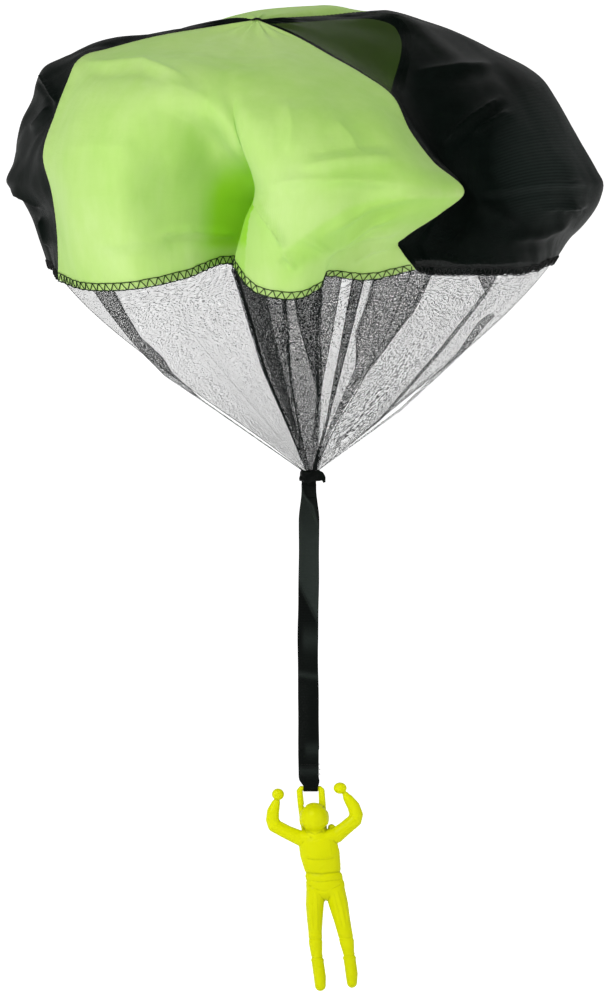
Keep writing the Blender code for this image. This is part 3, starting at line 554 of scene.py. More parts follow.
def thread_material(name, dark, light, rough=0.75):
    n = Nodes(name)
    c = n.new("ShaderNodeTexCoord").outputs["Object"]
    wave = n.new("ShaderNodeTexWave", {"Vector": c, "Scale": 900.0, "Distortion": 6.0, "Detail": 2.0},
                 wave_type="BANDS", bands_direction="DIAGONAL").outputs["Fac"]
    colour = n.ramp(n.math("ADD", n.math("MULTIPLY", wave, 0.5), n.math("MULTIPLY", n.noise(500.0), 0.5)),
                    [(0.3, dark), (0.75, light)])
    face = n.new("ShaderNodeBsdfPrincipled", {"Base Color": colour, "Roughness": rough, "Sheen Weight": 0.0, "Specular IOR Level": 0.05,
                                              "Normal": n.bump(wave, 0.0001, 0.8)})
    return n.finish(face.outputs[0])


def ribbon_satin():
    n = Nodes("black_grosgrain")
    uv = n.new("ShaderNodeUVMap", uv_map="flat").outputs[0]
    s = n.new("ShaderNodeSeparateXYZ", {"Vector": uv})
    ribs = n.math("SINE", n.math("MULTIPLY", s.outputs[1], 2 * math.pi / 0.00075))
    warp = n.math("SINE", n.math("MULTIPLY", s.outputs[0], 2 * math.pi / 0.00040))
    height = n.math("ADD", n.math("MULTIPLY", ribs, 0.35), n.math("ADD", n.math("MULTIPLY", warp, 0.12), 0.5))
    colour = n.ramp(n.math("ADD", n.math("MULTIPLY", height, 0.5), n.math("MULTIPLY", n.noise(90.0, 3.0), 0.5)),
                    [(0.30, (0.0001, 0.0006, 0.0003)), (0.75, (0.0008, 0.0020, 0.0013))])
    # the facets where the ribbon turns over catch more or less light
    tone = n.new("ShaderNodeAttribute", attribute_name="tone").outputs["Fac"]
    colour = n.mix_colour(tone, colour, (0.0420, 0.0540, 0.0480))
    normal = n.bump(height, 0.00012, 0.8, n.bump(n.noise(160.0, 3.0), 0.0003, 0.5))
    face = n.new("ShaderNodeBsdfPrincipled", {"Base Color": colour, "Roughness": 0.34, "Normal": normal,
                                              "Sheen Weight": 0.0, "Specular IOR Level": 0.05})
    return n.finish(face.outputs[0])


def yellow_plastic():
    n = Nodes("neon_yellow_plastic")
    cloud = n.noise(40.0, 2.0)
    colour = n.ramp(cloud, [(0.3, (0.565, 0.595, 0.0)), (0.7, (0.615, 0.640, 0.0))])
    normal = n.bump(n.noise(900.0, 2.0, 0.6), 0.00003, 0.4, n.bump(n.noise(130.0, 2.0), 0.0002, 0.35))
    rough = n.math("ADD", n.math("MULTIPLY", n.noise(60.0, 3.0), 0.16), 0.30)
    # painted shade: the moulding's hollows are coloured a darker yellow
    painted_hollow_shade = n.new("ShaderNodeAttribute", attribute_name="painted_hollow_shade").outputs["Fac"]
    colour = n.mix_colour(painted_hollow_shade, colour, (0.33, 0.36, 0.0))
    face = n.new("ShaderNodeBsdfPrincipled", {"Base Color": colour, "Roughness": rough, "Normal": normal,
                                              "Subsurface Weight": 0.25, "Subsurface Scale": 0.003,
                                              "Subsurface Radius": (1.0, 1.0, 0.05), "Specular IOR Level": 0.06})
    return n.finish(face.outputs[0])


GREEN_DEEP, GREEN_MID, GREEN_PALE = (0.49, 0.74, 0.185), (0.56, 0.785, 0.245), (0.63, 0.83, 0.32)
GREEN_THROUGH = (0.26, 0.64, 0.0)
GREEN_LETS = 0.40
BLACK_LETS = 0.100
NET_PITCH = 0.00102
NET_THREAD = 0.062

WORLD_LIGHT, WORLD_TOP, FLOOR_GLOW = 0.47, 0.25, 0.85
KEY, FILL, RIM = 19.0, 3.0, 2.0

GREEN_CLOTH = green_nylon()
BLACK_CLOTH = black_nylon()
TULLE = tulle()
THREAD = thread_material("dark_green_thread", (0.004, 0.010, 0.004), (0.030, 0.050, 0.022))
BLACK_THREAD = thread_material("black_thread", (0.004, 0.004, 0.004), (0.025, 0.026, 0.025))
RIBBON = ribbon_satin()
YELLOW = yellow_plastic()

# ---------------------------------------------------------------- canopy
gores = {name: Gore(ribs, FLUTES.get(name, ())) for name, ribs in GORES}
FINE = {"front": (232, 150), "right": (200, 150), "back": (150, 150), "left": (150, 150)}
cloth_mats = {"front": 0, "right": 1, "back": 0, "left": 1}

# soft folds in the front cloth: line in the elevation, width in units, height in millimetres
FRONT_FOLDS = [
    # the arch over the deep fold, and the shoulder it starts from
    ([(78, 60), (108, 66), (144, 64), (166, 74), (192, 84)], 6.0, 1.0),
    ([(144, 70), (176, 90), (210, 104), (232, 128), (243, 156), (252, 182)], 15.0, 0.9),
    ([(146, 112), (176, 118), (204, 136), (222, 160)], 20.0, -0.7),
    ([(150, 238), (190, 233), (226, 236), (244, 236)], 5.0, 0.9),
    ([(96, 246), (140, 243), (180, 246)], 9.0, 0.7),
    ([(60, 150), (96, 146), (140, 150)], 9.0, 0.35),
    ([(62, 200), (100, 196), (150, 202)], 10.0, 0.35),
    # the lobe: a fold from the notch, creases fanning from the pointed tip
    ([(257, 192), (268, 214), (280, 236), (287, 252)], 4.0, 1.9),
    ([(262, 190), (300, 183), (350, 182), (410, 186)], 7.0, 1.1),
    ([(290, 172), (340, 163), (400, 160)], 8.0, 0.9),
    ([(300, 160), (350, 150), (395, 146)], 8.0, -0.6),
    ([(316, 239), (366, 208), (404, 198), (446, 196)], 6.0, 1.2),
    ([(318, 262), (340, 244), (370, 224), (402, 216)], 5.0, 1.0),
    ([(336, 252), (364, 238), (400, 234)], 4.0, 1.0),
    ([(352, 266), (370, 252), (396, 247)], 3.5, 0.8),
    ([(284, 250), (290, 260), (296, 272)], 3.5, 1.0),
    ([(296, 236), (314, 244), (330, 256)], 5.0, 0.8),
    ([(274, 262), (290, 256), (306, 262)], 5.0, 0.7),
    ([(286, 100), (292, 130), (288, 160)], 9.0, 0.6),
    ([(330, 120), (350, 140), (362, 160)], 9.0, 0.5),
]
RIGHT_FOLDS = [
    ([(408, 72), (452, 68), (500, 62)], 6.0, 0.8),
    ([(440, 150), (470, 120), (505, 95)], 5.0, 1.3),
    ([(470, 136), (490, 122), (512, 110)], 5.0, 1.0),
    ([(470, 196), (515, 190), (540, 186), (600, 183)], 4.0, 1.2),
    ([(540, 210), (572, 207), (594, 206)], 3.0, 1.0),
    ([(560, 214), (572, 205), (584, 216)], 3.0, 0.9),
    ([(505, 240), (545, 236), (575, 220)], 6.0, 0.9),
    ([(455, 170), (480, 205), (520, 230)], 8.0, 0.9),
    ([(560, 256), (576, 240), (584, 226)], 3.5, 1.0),
]
LEFT_FOLDS = [
    ([(41, 73), (50, 88), (59, 105)], 3.0, 1.3),
    ([(8, 187), (28, 196), (47, 208)], 3.5, 1.3),
    ([(30, 130), (40, 120), (52, 104)], 4.0, 0.9),
    ([(42, 215), (47, 232), (52, 249)], 3.0, 1.4),
]


def relief(name, p, across, down):
    """How far the cloth stands off its smooth surface, in metres."""
    along = arc(p, 1)
    width = along[:, -1:]
    run = arc(p, 0)
    side = np.minimum(along, width - along)
    fade = smooth(side, 0.0, 0.010) * smooth(run, 0.004, 0.05)
    seed = {"front": 3, "right": 11, "back": 23, "left": 31}[name]
    big = noise(along / 0.022, run / 0.075, seed) * 0.00135
    mid = noise(along / 0.009 + 0.4 * noise(run / 0.03, along / 0.03, seed + 5), run / 0.034, seed + 1) * 0.00050
    small = noise(along / 0.0050, run / 0.009, seed + 2) * 0.00009
    if name == "front":
        mid = noise(along / 0.034, run / 0.011 + 0.4 * noise(run / 0.03, along / 0.03, seed + 5), seed + 1) * 0.00030
        big = noise(along / 0.050, run / 0.040, seed) * 0.00110
    # puckers along the seams and the hem, and pleats at the crown
    pucker = np.sin(run / 0.0066 * 2 * math.pi + 2.5 * noise(run / 0.02, 0.0 * run, seed + 3))
    pucker = pucker * np.exp(-side / 0.0045) * 0.00022 * smooth(run, 0.01, 0.03) * smooth(side, 0.0, 0.0012)
    hem = 1 - down[:, None]
    ripple = np.sin(along / 0.0085 * 2 * math.pi + 3 * noise(along / 0.03, 0.0 * along, seed + 4))
    ripple = ripple * np.exp(-hem / 0.035) * 0.00022
    crown = 0.0006 * np.sin(across / across[:, -1:] * 2 * math.pi * 5) * np.exp(-((run - 0.012) / 0.009) ** 2)
    d = (big + mid + small) * fade + pucker + ripple * smooth(side, 0, 0.004) + crown * smooth(side, 0, 0.002)
    u, v = elevation(p)
    folds = {"front": FRONT_FOLDS, "right": RIGHT_FOLDS, "left": LEFT_FOLDS}.get(name, ())
    if folds:
        n = grid_normals(p)
        facing = smooth(-n[..., 1], -0.05, 0.25)
        for line, wide, high in folds:
            far, s, t = from_line(u, v, line)
            ends = smooth(t, 0.0, 0.25) * smooth(1 - t, 0.0, 0.25)
            x = far / wide * s
            shape = np.exp(-1.25 * np.abs(x) ** 1.2) - 0.38 * np.exp(-((x - 1.5) / 1.0) ** 2)
            d = d + shape * ends * high * 0.0026 * facing * smooth(side, 0, 0.006)
    return d


def gore_surface(name):
    gore = gores[name]
    n, m = FINE[name]
    downs = np.concatenate([[0.0], np.linspace(0.006, 1.0, m)])
    downs[-1] = 1.0
    across = np.tile(np.linspace(0, gore.last, n + 1), (len(downs), 1))
    p = gore.at(across, downs)
    # the cloth runs on to the bottom of the stitched hem
    down_way = normalised(p[-1] - p[-5])
    extra = [p[-1] + down_way * k for k in (0.0006, 0.0012, 0.0016)]
    p = np.concatenate([p, np.array(extra)])
    across = np.concatenate([across, across[-3:]])
    downs = np.concatenate([downs, [1.003, 1.006, 1.0075]])
    normal = grid_normals(p)
    normal[0] = (0, 0, 1)
    d = relief(name, p, across, np.minimum(downs, 1.0))
    d[0] = 0
    q = p + normal * d[..., None]
    along, run = arc(p, 1), arc(p, 0)
    middle = along[:, -1:] / 2
    uv = np.stack([along - middle, run], axis=-1)
    return q, uv, normal


surfaces = {name: gore_surface(name) for name in gores}
# neighbouring gores share the seam's points
order = ["front", "right", "back", "left"]
all_points, all_faces, all_uv, all_mats, all_lets, all_painted_fold_shade, base = [], [], [], [], [], [], 0
for name in order:
    q, uv, _ = surfaces[name]
    all_points.append(q.reshape(-1, 3))
    all_uv.append(uv.reshape(-1, 2))
    # slack black cloth lies double inside the right gore, so less light comes through there
    u, v = elevation(q)
    double = smooth(-grid_normals(q)[..., 1], 0.0, 0.2) * smooth(v, 84, 104) * (1 - smooth(v, 246, 256)) * (1 - smooth(u - 0.10 * (v - 90), 520, 536))
    low = smooth(v, 250, 256) * smooth(-grid_normals(q)[..., 1], 0.0, 0.2)
    all_lets.append((np.clip(0.32 + 0.83 * (1 - smooth(v, 84, 112)) * (1 - smooth(u, 404, 420)) * (1 - smooth(q[..., 1], 0.050, 0.070)) - 0.60 * double - 0.20 * low, 0.20, None) if name == "right" else 0.10 - 0.03 * smooth(v, 180, 220)).ravel())
    # painted shade: the deep fold under the arch is coloured darker, most where it runs in under the lobe
    far, s, _ = from_line(u, v, [(112, 150), (130, 116), (154, 100), (178, 99), (206, 112), (228, 135), (240, 160), (252, 188), (250, 240)])
    inside = (q[..., 1] < -0.02) & (q[..., 1] > -0.094)
    under = 0.30 * smooth(far * s, 4, 46) * smooth(u - 0.30 * (v - 150), 120, 236) * (1 - smooth(v, 214, 250))
    painted_fold_shade = 0.95 * smooth(u + 0.10 * (v - 200), 198, 222) * smooth(v + 0.55 * (u - 220), 150, 196) * (1 - 0.55 * smooth(v, 240, 254))
    painted_fold_shade = (under + painted_fold_shade * (1 - under)) * inside * (1 - smooth(u, 262, 270))
    # painted shade on the lobe's creased facets under the pointed tip, and on its flap beside the fold
    def facet(line, soft):
        d, sd, _ = from_line(u, v, line)
        return smooth(d * sd, 0, soft)
    crease = facet([(250, 186), (262, 204), (280, 238), (286, 256)], 3.0) * (1 - smooth(v, 258, 280))
    under_tip = facet([(262, 262), (284, 250), (318, 226), (348, 207), (380, 199), (470, 196)], 5.0) * (1 - facet([(262, 300), (300, 262), (340, 244), (380, 226), (440, 214)], 14.0))
    streak = facet([(300, 178), (350, 166), (400, 160), (450, 176)], 6.0) * (1 - facet([(290, 196), (350, 184), (400, 180), (450, 190)], 8.0)) * smooth(u, 290, 340)
    outer = (u > 238) & (q[..., 1] < -0.060)
    painted_facet_shade = np.maximum.reduce([0.16 * crease * (u < 300), 0.30 * under_tip * smooth(u, 270, 300), 0.16 * streak]) * outer
    painted_fold_shade = np.maximum(painted_fold_shade, painted_facet_shade)
    all_painted_fold_shade.append((painted_fold_shade if name == "front" else np.zeros(q.shape[:2])).ravel())
    f = grid_faces(*q.shape[:2], base=base)
    all_faces.append(f)
    all_mats.append(np.full(len(f), cloth_mats[name]))
    base += q.shape[0] * q.shape[1]
# the fold value holds the painted shade of the deep fold and the lobe's creases
canopy = piece("canopy_cloth", np.concatenate(all_points), np.concatenate(all_faces), [GREEN_CLOTH, BLACK_CLOTH],
               uv=np.concatenate(all_uv), face_mats=np.concatenate(all_mats), merge=0.00002,
               values={"lets": np.concatenate(all_lets), "fold": np.concatenate(all_painted_fold_shade)})
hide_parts("canopy_gore_front", "canopy_gore_right", "canopy_gore_back", "canopy_gore_left")
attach(canopy, "canopy")

# ---------------------------------------------------------------- seams, stitches and hem
hem = {}
for name, gore in gores.items():
    grid = surfaces[name][0]
    spread = arc(grid[-4:-3], 1)[0]
    want = np.linspace(0, spread[-1], 1401)
    line, above = (np.stack([np.interp(want, spread, grid[r, :, k]) for k in range(3)], axis=1) for r in (-4, -7))
    down_way = normalised(line - above)
    normal = normalised(np.cross(down_way, np.gradient(line, axis=0)))
    run = np.concatenate([[0], np.cumsum(np.linalg.norm(np.diff(line, axis=0), axis=1))])
    hem[name] = (line, down_way, normal, run)


def along_hem(name, s, drop, out):
    """Points at s metres along a hem, drop metres down the cloth from its line and out from the surface."""
    line, down_way, normal, run = hem[name]

    def pick(a):
        return np.stack([np.interp(s, run, a[:, k]) for k in range(3)], axis=-1)

    p, d, n = pick(line), normalised(pick(down_way)), normalised(pick(normal))
    return p + d * np.asarray(drop)[..., None] + n * np.asarray(out)[..., None], n


STITCH = 0.00465
for name in order:
    total = hem[name][3][-1]
    count = max(4, round(total / STITCH))
    pitch = total / count
    s = np.linspace(0.0006, total - 0.0006, count * 14 + 1)
    phase = s / pitch
    wander = noise(s / 0.004, 0 * s, 7) * 0.00018
    parts = []
    # the straight needle thread, dipping through the cloth between stitches
    dip = 0.00042 - 0.00036 * np.exp(-(((phase % 1.0) - 0.5) / 0.10) ** 2)
    p, n = along_hem(name, s, -0.0019 + wander, dip)
    parts.append(tube(p, 0.00023, n))
    # the looper thread: a V over the cloth's edge, outside and inside
    for face, shift in ((1, 0.0), (-1, 0.5)):
        tri = np.abs(((phase + shift) % 1.0) * 2 - 1)          # 1 at the needle line, 0 at the edge
        tri = 0.5 - 0.5 * np.cos(math.pi * np.clip(tri, 0, 1)) * 0.35 - 0.5 * (1 - 2 * tri) * 0.65
        drop = 0.0018 - 0.0036 * tri + wander
        out = face * (0.00044 + 0.00008 * np.sin(phase * 2 * math.pi))
        p, n = along_hem(name, s, drop, out)
        parts.append(tube(p, 0.00023, n + 0.3))
    # the chain that runs along the very edge
    p, n = along_hem(name, s, 0.00195 + 0.00010 * np.sin(phase * 4 * math.pi), 0.00030 * np.sin(phase * 2 * math.pi))
    parts.append(tube(p, 0.00029, n))
    points, faces = gathered(parts)
    thread = piece(f"hem_stitching_{name}", points, faces, THREAD if name in ("front", "back") else BLACK_THREAD)
    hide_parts(f"hem_overlock_{name}")
    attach(thread, "canopy")

ALLOWANCE = {"front_left": 0.0030, "front_right": 0.0046, "back_right": 0.0040, "back_left": 0.0030}
seam_lines = {"front_left": ("front", 0), "front_right": ("right", 0), "back_right": ("back", 0), "back_left": ("left", 0)}
for name, (gore_name, _) in seam_lines.items():
    q, uv, normal = surfaces[gore_name]
    other = {"front": "left", "right": "front", "back": "right", "left": "back"}[gore_name]
    q2, _, normal2 = surfaces[other]
    path = q[2:-4, 0]
    n = normalised(normal[2:-4, 0] + normal2[2:-4, -1])
    t = normalised(np.gradient(path, axis=0))
    to_side = normalised(np.cross(n, t))
    run = np.concatenate([[0], np.cumsum(np.linalg.norm(np.diff(path, axis=0), axis=1))])
    fine_run = np.arange(0.0, run[-1], 0.0005)

    def pick(a, at=fine_run, run=run):
        return np.stack([np.interp(at, run, a[:, k]) for k in range(3)], axis=-1)

    fp, fn, fs = pick(path), normalised(pick(n)), normalised(pick(to_side))
    parts = []
    # the seam allowance stands inside the cloth as a narrow folded band
    wob = 0.0004 * noise(fine_run / 0.012, 0 * fine_run, 5)
    deep = 0.0030 + wob * 0.5
    lean = 0.0010 + wob
    band = []
    for k, half in ((0.0, 0.00022), (0.35, 0.00034), (0.7, 0.00036), (1.0, 0.00028)):
        centre = fp - fn * (0.00025 + deep * k)[:, None] + fs * (lean * k)[:, None]
        band.append((centre - fs * half, centre + fs * half))
    loop = [b[0] for b in band] + [b[1] for b in band[::-1]]
    ring = np.stack(loop, axis=1)
    faces = [list(f) for f in grid_faces(len(fine_run), ring.shape[1], closed=True)]
    faces.append(list(range(ring.shape[1]))[::-1])
    faces.append([(len(fine_run) - 1) * ring.shape[1] + k for k in range(ring.shape[1])])
    parts.append((ring.reshape(-1, 3), faces))
    # overlock thread round the allowance's edge
    ph = fine_run / 0.0032
    centre = fp - fn * (0.00025 + 0.0021 + 0.0011 * np.cos(ph * 2 * math.pi))[:, None] + fs * (
        lean * 0.8 + 0.00055 * np.sin(ph * 2 * math.pi))[:, None]
    parts.append(tube(centre, 0.00016, fn + 0.2))
    # the stitches seen outside, in the valley of the seam
    for a in np.arange(0.006, run[-1] - 0.004, 0.0027):
        at = np.linspace(a, a + 0.0019, 5)
        sp, sn = pick(path, at), normalised(pick(n, at))
        lift = 0.00012 * np.sin(np.linspace(0, math.pi, 5)) - 0.00002
        parts.append(tube(sp + sn * lift[:, None], 0.00014, sn, sides=5))
    # the seam allowance: a strip of the black gore folded back under itself, 5 mm wide
    black, start = {"front_left": ("left", False), "front_right": ("right", True),
                    "back_right": ("right", False), "back_left": ("left", True)}[name]
    bq, _, bn = surfaces[black]
    grid, way = (bq[3:-5], bn[3:-5]) if start else (bq[3:-5, ::-1], bn[3:-5, ::-1])
    grid, way = grid[:, :60], way[:, :60]
    run_in = arc(grid, 1)
    wide = ALLOWANCE[name] * (0.4 + 0.6 * smooth(np.linspace(0, 1, len(grid)), 0, 0.12))
    shares = np.linspace(0.02, 1, 8)
    inner = np.empty((len(grid), 8, 3))
    inner_n = np.empty((len(grid), 8, 3))
    for r in range(len(grid)):
        at = np.minimum(shares * wide[r] * (1 + 0.06 * math.sin(r * 0.35)), run_in[r, -1])
        for k in range(3):
            inner[r, :, k] = np.interp(at, run_in[r], grid[r, :, k])
            inner_n[r, :, k] = np.interp(at, run_in[r], way[r, :, k])
    inner_n = normalised(inner_n)
    upper, lower = inner - inner_n * 0.00030, inner - inner_n * 0.00062
    ring = np.concatenate([upper, lower[:, ::-1]], axis=1)
    faces = [list(f) for f in grid_faces(len(grid), 16, closed=True)]
    faces.append(list(range(16))[::-1])
    faces.append([(len(grid) - 1) * 16 + k for k in range(16)])
    parts.append((ring.reshape(-1, 3), faces))
    points, faces = gathered(parts)
    seam = piece(f"seam_{name}", points, faces, BLACK_THREAD, shade=False)
    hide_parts(f"canopy_seam_{name}")
    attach(seam, "canopy")

# the crown, where the seams cross: a small bar tack of thread
parts = []
for k in range(9):
    a = math.radians(90) + 0.10 * (k - 4)
    off = (k - 4) * 0.00036
    t = np.linspace(-1, 1, 13)
    x = t * 0.0023 * math.cos(a) + off
    y = t * 0.0023 * math.sin(a)
    z = 0.00030 + 0.00016 * np.cos(t * math.pi / 2) - 0.0014 * (x ** 2 + y ** 2) / 0.0026 ** 2 * 0.3
    parts.append(tube(np.stack([x, y, z], axis=1), 0.00020, (0, 0, 1)))
for k in range(7):
    t = np.linspace(-1, 1, 11)
    y = (k - 3) * 0.00055 + 0 * t
    x = t * 0.0021
    z = 0.00055 + 0.00014 * np.cos(t * math.pi / 2) - 0.0004 * t ** 2
    parts.append(tube(np.stack([x, y, z], axis=1), 0.00018, (0, 0, 1)))
points, faces = gathered(parts)
tack = piece("crown_bar_tack", points, faces, BLACK_THREAD)
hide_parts("crown_stitching")
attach(tack, "canopy")

# ---------------------------------------------------------------- net skirt
gather = place(*GATHER)
BELLY = 0.36
ring_angle = {"front": (math.radians(195), math.radians(290)), "right": (math.radians(-70), math.radians(56)),
              "back": (math.radians(56), math.radians(132)), "left": (math.radians(132), math.radians(195))}
NET_ROWS = 70


def net_point(top, ring, f):
    middle = (1 - f) * top + f * ring
    out = (middle - gather) * np.array([1, 1, 0])
    return middle + out * BELLY * (f * (1 - f))


net_columns, net_heavy, net_along = [], [], []
offset = 0.0
rows_f = np.concatenate([np.linspace(0, 0.9, NET_ROWS - 16, endpoint=False), np.linspace(0.9, 1.0, 16)])
net_grid = []
for name in order:
    line, down_way, normal, run = hem[name]
    total = run[-1]
    count = int(total / 0.0017)
    s = np.linspace(0, total, count, endpoint=False)
    top, n = along_hem(name, s, 0.0 * s - 0.0004, 0.0 * s - 0.0006)
    a0, a1 = ring_angle[name]
    a = a0 + (a1 - a0) * s / total
    ring = gather + np.stack([np.cos(a), np.sin(a), 0 * a], axis=-1) * np.array([0.0045, 0.0034, 0])
    # the hem's flutes even out a little way down the net
    even = top.copy()
    if name in ("back", "left"):
        for _ in range(500):
            even[1:-1] = (even[:-2] + 2 * even[1:-1] + even[2:]) / 4
    rows = []
    for f in rows_f:
        settled = smooth(f, 0.0, 0.16)
        p = net_point(top * (1 - settled) + even * settled, ring, f)
        # hanging net gathers into soft pleats towards the knot
        out = normalised((p - gather) * np.array([1, 1, 0]) + 1e-9)
        sideways = np.cross(out, [0, 0, 1.0])
        deep = (0.0003 if name in ('front', 'left') else 0.0006) * smooth(f, 0.05, 0.55) * smooth(1 - f, 0.0, 0.40)
        wave = np.sin(s / 0.026 * 2 * math.pi + 3.0 * noise(s / 0.05, f * 2 + 0 * s, 41) + offset)
        wave2 = noise(s / 0.011, f * 5 + 0 * s, 42)
        p = p + out * (deep * wave + 0.0003 * wave2 * smooth(f, 0.02, 0.2) * smooth(1 - f, 0, 0.2))[:, None]
        p = p + sideways * (deep * 0.8 * np.cos(s / 0.026 * 2 * math.pi + 3.0 * noise(s / 0.05, f * 2 + 0 * s, 41) + offset))[:, None]
        rows.append(p)
    # down into the knot
    for k, (r, dz) in enumerate(((0.0030, 0.0012), (0.0026, 0.0028))):
        rows.append(gather + np.stack([np.cos(a) * r, np.sin(a) * r * 0.85, 0 * a - dz], axis=-1))
    net_grid.append(np.array(rows))
    net_along.append(offset + s)
    offset += total
net_p = np.concatenate(net_grid, axis=1)
net_s = np.concatenate(net_along)
slant = arc(net_p, 0)
reach = slant[-1:]
# the pattern lies as on a flat fan: cells keep their size as the rows get shorter
share = 1 - slant / reach
shrink = arc(np.concatenate([net_p, net_p[:, :1]], axis=1), 1)[:, :-1]
uv_net = np.stack([shrink - shrink[:, -1:] / 2, slant + 0.013 * net_s[None] / offset], axis=-1)
f_all = np.concatenate([rows_f, [1.0, 1.0]])[:, None]
u, v = elevation(net_p)
facing = np.abs(grid_normals(net_p)[..., 1])
heavy = (1.0 + 0.55 * smooth(f_all, 0.35, 1.0)) * (0.66 + 0.34 * smooth(facing, 0.02, 0.4))
heavy = heavy * (1 - 0.08 * smooth(u, 380, 440))
heavy = heavy * (1.30 - 0.75 * smooth(net_p[..., 1], -0.015, 0.03) * (1 - smooth(u, 300, 400)))
net_faces = grid_faces(*net_p.shape[:2], closed=True)
net_parts = [(net_p.reshape(-1, 3), net_faces, uv_net.reshape(-1, 2), heavy.ravel())]

# the slack of the net, folded back and forth in bands. Each band: its left edge and right edge in the
# elevation, hem depth in millimetres, how many times it is folded, and how heavy its gathered cells are
BANDS = [
    ([(233, 270), (247, 318), (263, 370), (288, 428), (306, 470)], [(284, 290), (288, 340), (291, 380), (301, 436), (309, 470)], -60, 5, 1.15),
    ([(232, 270), (246, 318), (262, 370), (288, 428), (305, 470)], [(237, 268), (251, 316), (266, 370), (290, 428), (306, 470)], -61, 3, 1.0),
    ([(284, 290), (288, 340), (291, 380), (301, 436), (309, 470)], [(322, 290), (318, 340), (320, 400), (316, 470)], -62, 3, 1.18),
    ([(293, 288), (298, 322), (309, 364), (319, 400), (316, 470)], [(322, 290), (321, 340), (322, 372), (321, 410), (317, 470)], -64, 3, 1.15),
    ([(322, 276), (319, 330), (316, 400), (311, 470)], [(343, 270), (331, 340), (318, 410), (311, 470)], -66, 3, 1.2),
    ([(354, 270), (341, 340), (326, 420), (312, 470)], [(367, 268), (352, 330), (334, 400), (316, 470)], -60, 5, 1.1),
    ([(376, 268), (356, 334), (355, 368), (330, 425), (314, 470)], [(434, 268), (412, 314), (359, 384), (330, 434), (318, 470)], -54, 3, 1.02),
    ([(90, 285), (107, 310), (128, 337), (146, 357), (165, 376), (199, 399), (301, 470)], [(112, 284), (125, 310), (141, 337), (163, 357), (173, 373), (203, 400), (303, 470)], -50, 3, 1.5),
    ([(473, 270), (484, 292), (440, 348), (378, 420), (318, 470)], [(499, 270), (487, 294), (443, 350), (380, 421), (319, 470)], -40, 3, 1.3),
    ([(488, 314), (478, 322), (464, 342), (456, 354), (400, 408), (318, 470)], [(494, 316), (484, 327), (469, 346), (459, 357), (402, 410), (319, 470)], -28, 3, 1.1),
]
for number, (left, right, depth, passes, weight) in enumerate(BANDS):
    v_rows = np.linspace(min(left[0][1], right[0][1]), 470, 64)
    lu = np.interp(v_rows, [q[1] for q in left], [q[0] for q in left])
    ru = np.interp(v_rows, [q[1] for q in right], [q[0] for q in right])
    g = (v_rows - v_rows[0]) / (v_rows[-1] - v_rows[0])
    d_mm = depth * (1 - g) + GATHER[2] * g
    per = 9
    t = np.linspace(0, passes, passes * per + 1)
    tri = np.abs((t + 1) % 2 - 1)
    rows = []
    for k, vv in enumerate(v_rows):
        jitter = noise(t * 0.7 + number * 9, vv / 30 + 0 * t, 60 + number)
        edge = np.where((t > 0.5) & (t < passes - 0.5), 0.06 * jitter, 0.02 * jitter)
        uu = lu[k] + (ru[k] - lu[k]) * np.clip(tri + edge, -0.03, 1.03)
        yy = d_mm[k] + (t - passes / 2) * 0.55 * (1 - 0.75 * g[k]) + 0.5 * noise(t * 2.0, vv / 16 + 0 * t, 70 + number) * (1 - g[k])
        p = np.stack([(uu - CROWN_U) * UNIT, yy / 1000, -(vv - CROWN_V) * UNIT - yy / 1000 * SIGHT], axis=-1)
        rows.append(p)
    p = np.array(rows)
    along_row = arc(p, 1)
    uv = np.stack([along_row * 1.25, arc(p, 0) + 0.3 + 0.07 * number], axis=-1)
    net_parts.append((p.reshape(-1, 3), grid_faces(*p.shape[:2]), uv.reshape(-1, 2),
                      (weight * (1 + 0.25 * smooth(g, 0.6, 1.0))[:, None] * (1 + 1.4 * np.exp(-((t - np.round(t)) / 0.05) ** 2))[None]).ravel()))
points, faces, uvs, values, base = [], [], [], [], 0
for p, f, uv, h in net_parts:
    points.append(p)
    faces.append(f + base)
    uvs.append(uv)
    values.append(h)
    base += len(p)
net = piece("net_skirt", np.concatenate(points), np.concatenate(faces), TULLE, uv=np.concatenate(uvs),
            values={"heavy": np.concatenate(values)})
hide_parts("net_panel_front", "net_panel_right", "net_panel_back", "net_panel_left")
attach(net, "canopy")

# the net's seams: a rolled edge with its thread, from the hem to the knot
for name, gore_name in (("front_left", "front"), ("front_right", "right"), ("back_right", "back"), ("back_left", "left")):
    column = sum(g.shape[1] for g in net_grid[:order.index(gore_name)])
    path = net_p[:-1, column]
    run = np.concatenate([[0], np.cumsum(np.linalg.norm(np.diff(path, axis=0), axis=1))])
    fine_run = np.arange(0, run[-1], 0.0005)
    fp = np.stack([np.interp(fine_run, run, path[:, k]) for k in range(3)], axis=1)
    ref = normalised((fp - gather) * np.array([1, 1, 0]) + np.array([0, 0, 0.0005]))
    side = normalised(np.cross(np.gradient(fp, axis=0), ref))
    ph = fine_run / 0.003 * 2 * math.pi
    fine_as = 0.22 if name.startswith("back") else 1.0
    parts = [tube(fp + ref * (0.00016 * np.sin(ph))[:, None] + side * (0.00016 * np.cos(ph))[:, None], 0.00007 * fine_as, ref, sides=5),
             tube(fp - ref * (0.00016 * np.sin(ph))[:, None] - side * (0.00016 * np.cos(ph))[:, None], 0.00007 * fine_as, ref, sides=5),
             tube(fp, (0.00010 + 0.00003 * noise(fine_run / 0.003, 0 * fine_run, 9)) * fine_as, ref, sides=5)]
    points, faces = gathered(parts)
    rolled = piece(f"net_seam_thread_{name}", points, faces, BLACK_THREAD)
    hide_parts(f"net_seam_{name}")
    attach(rolled, "canopy")

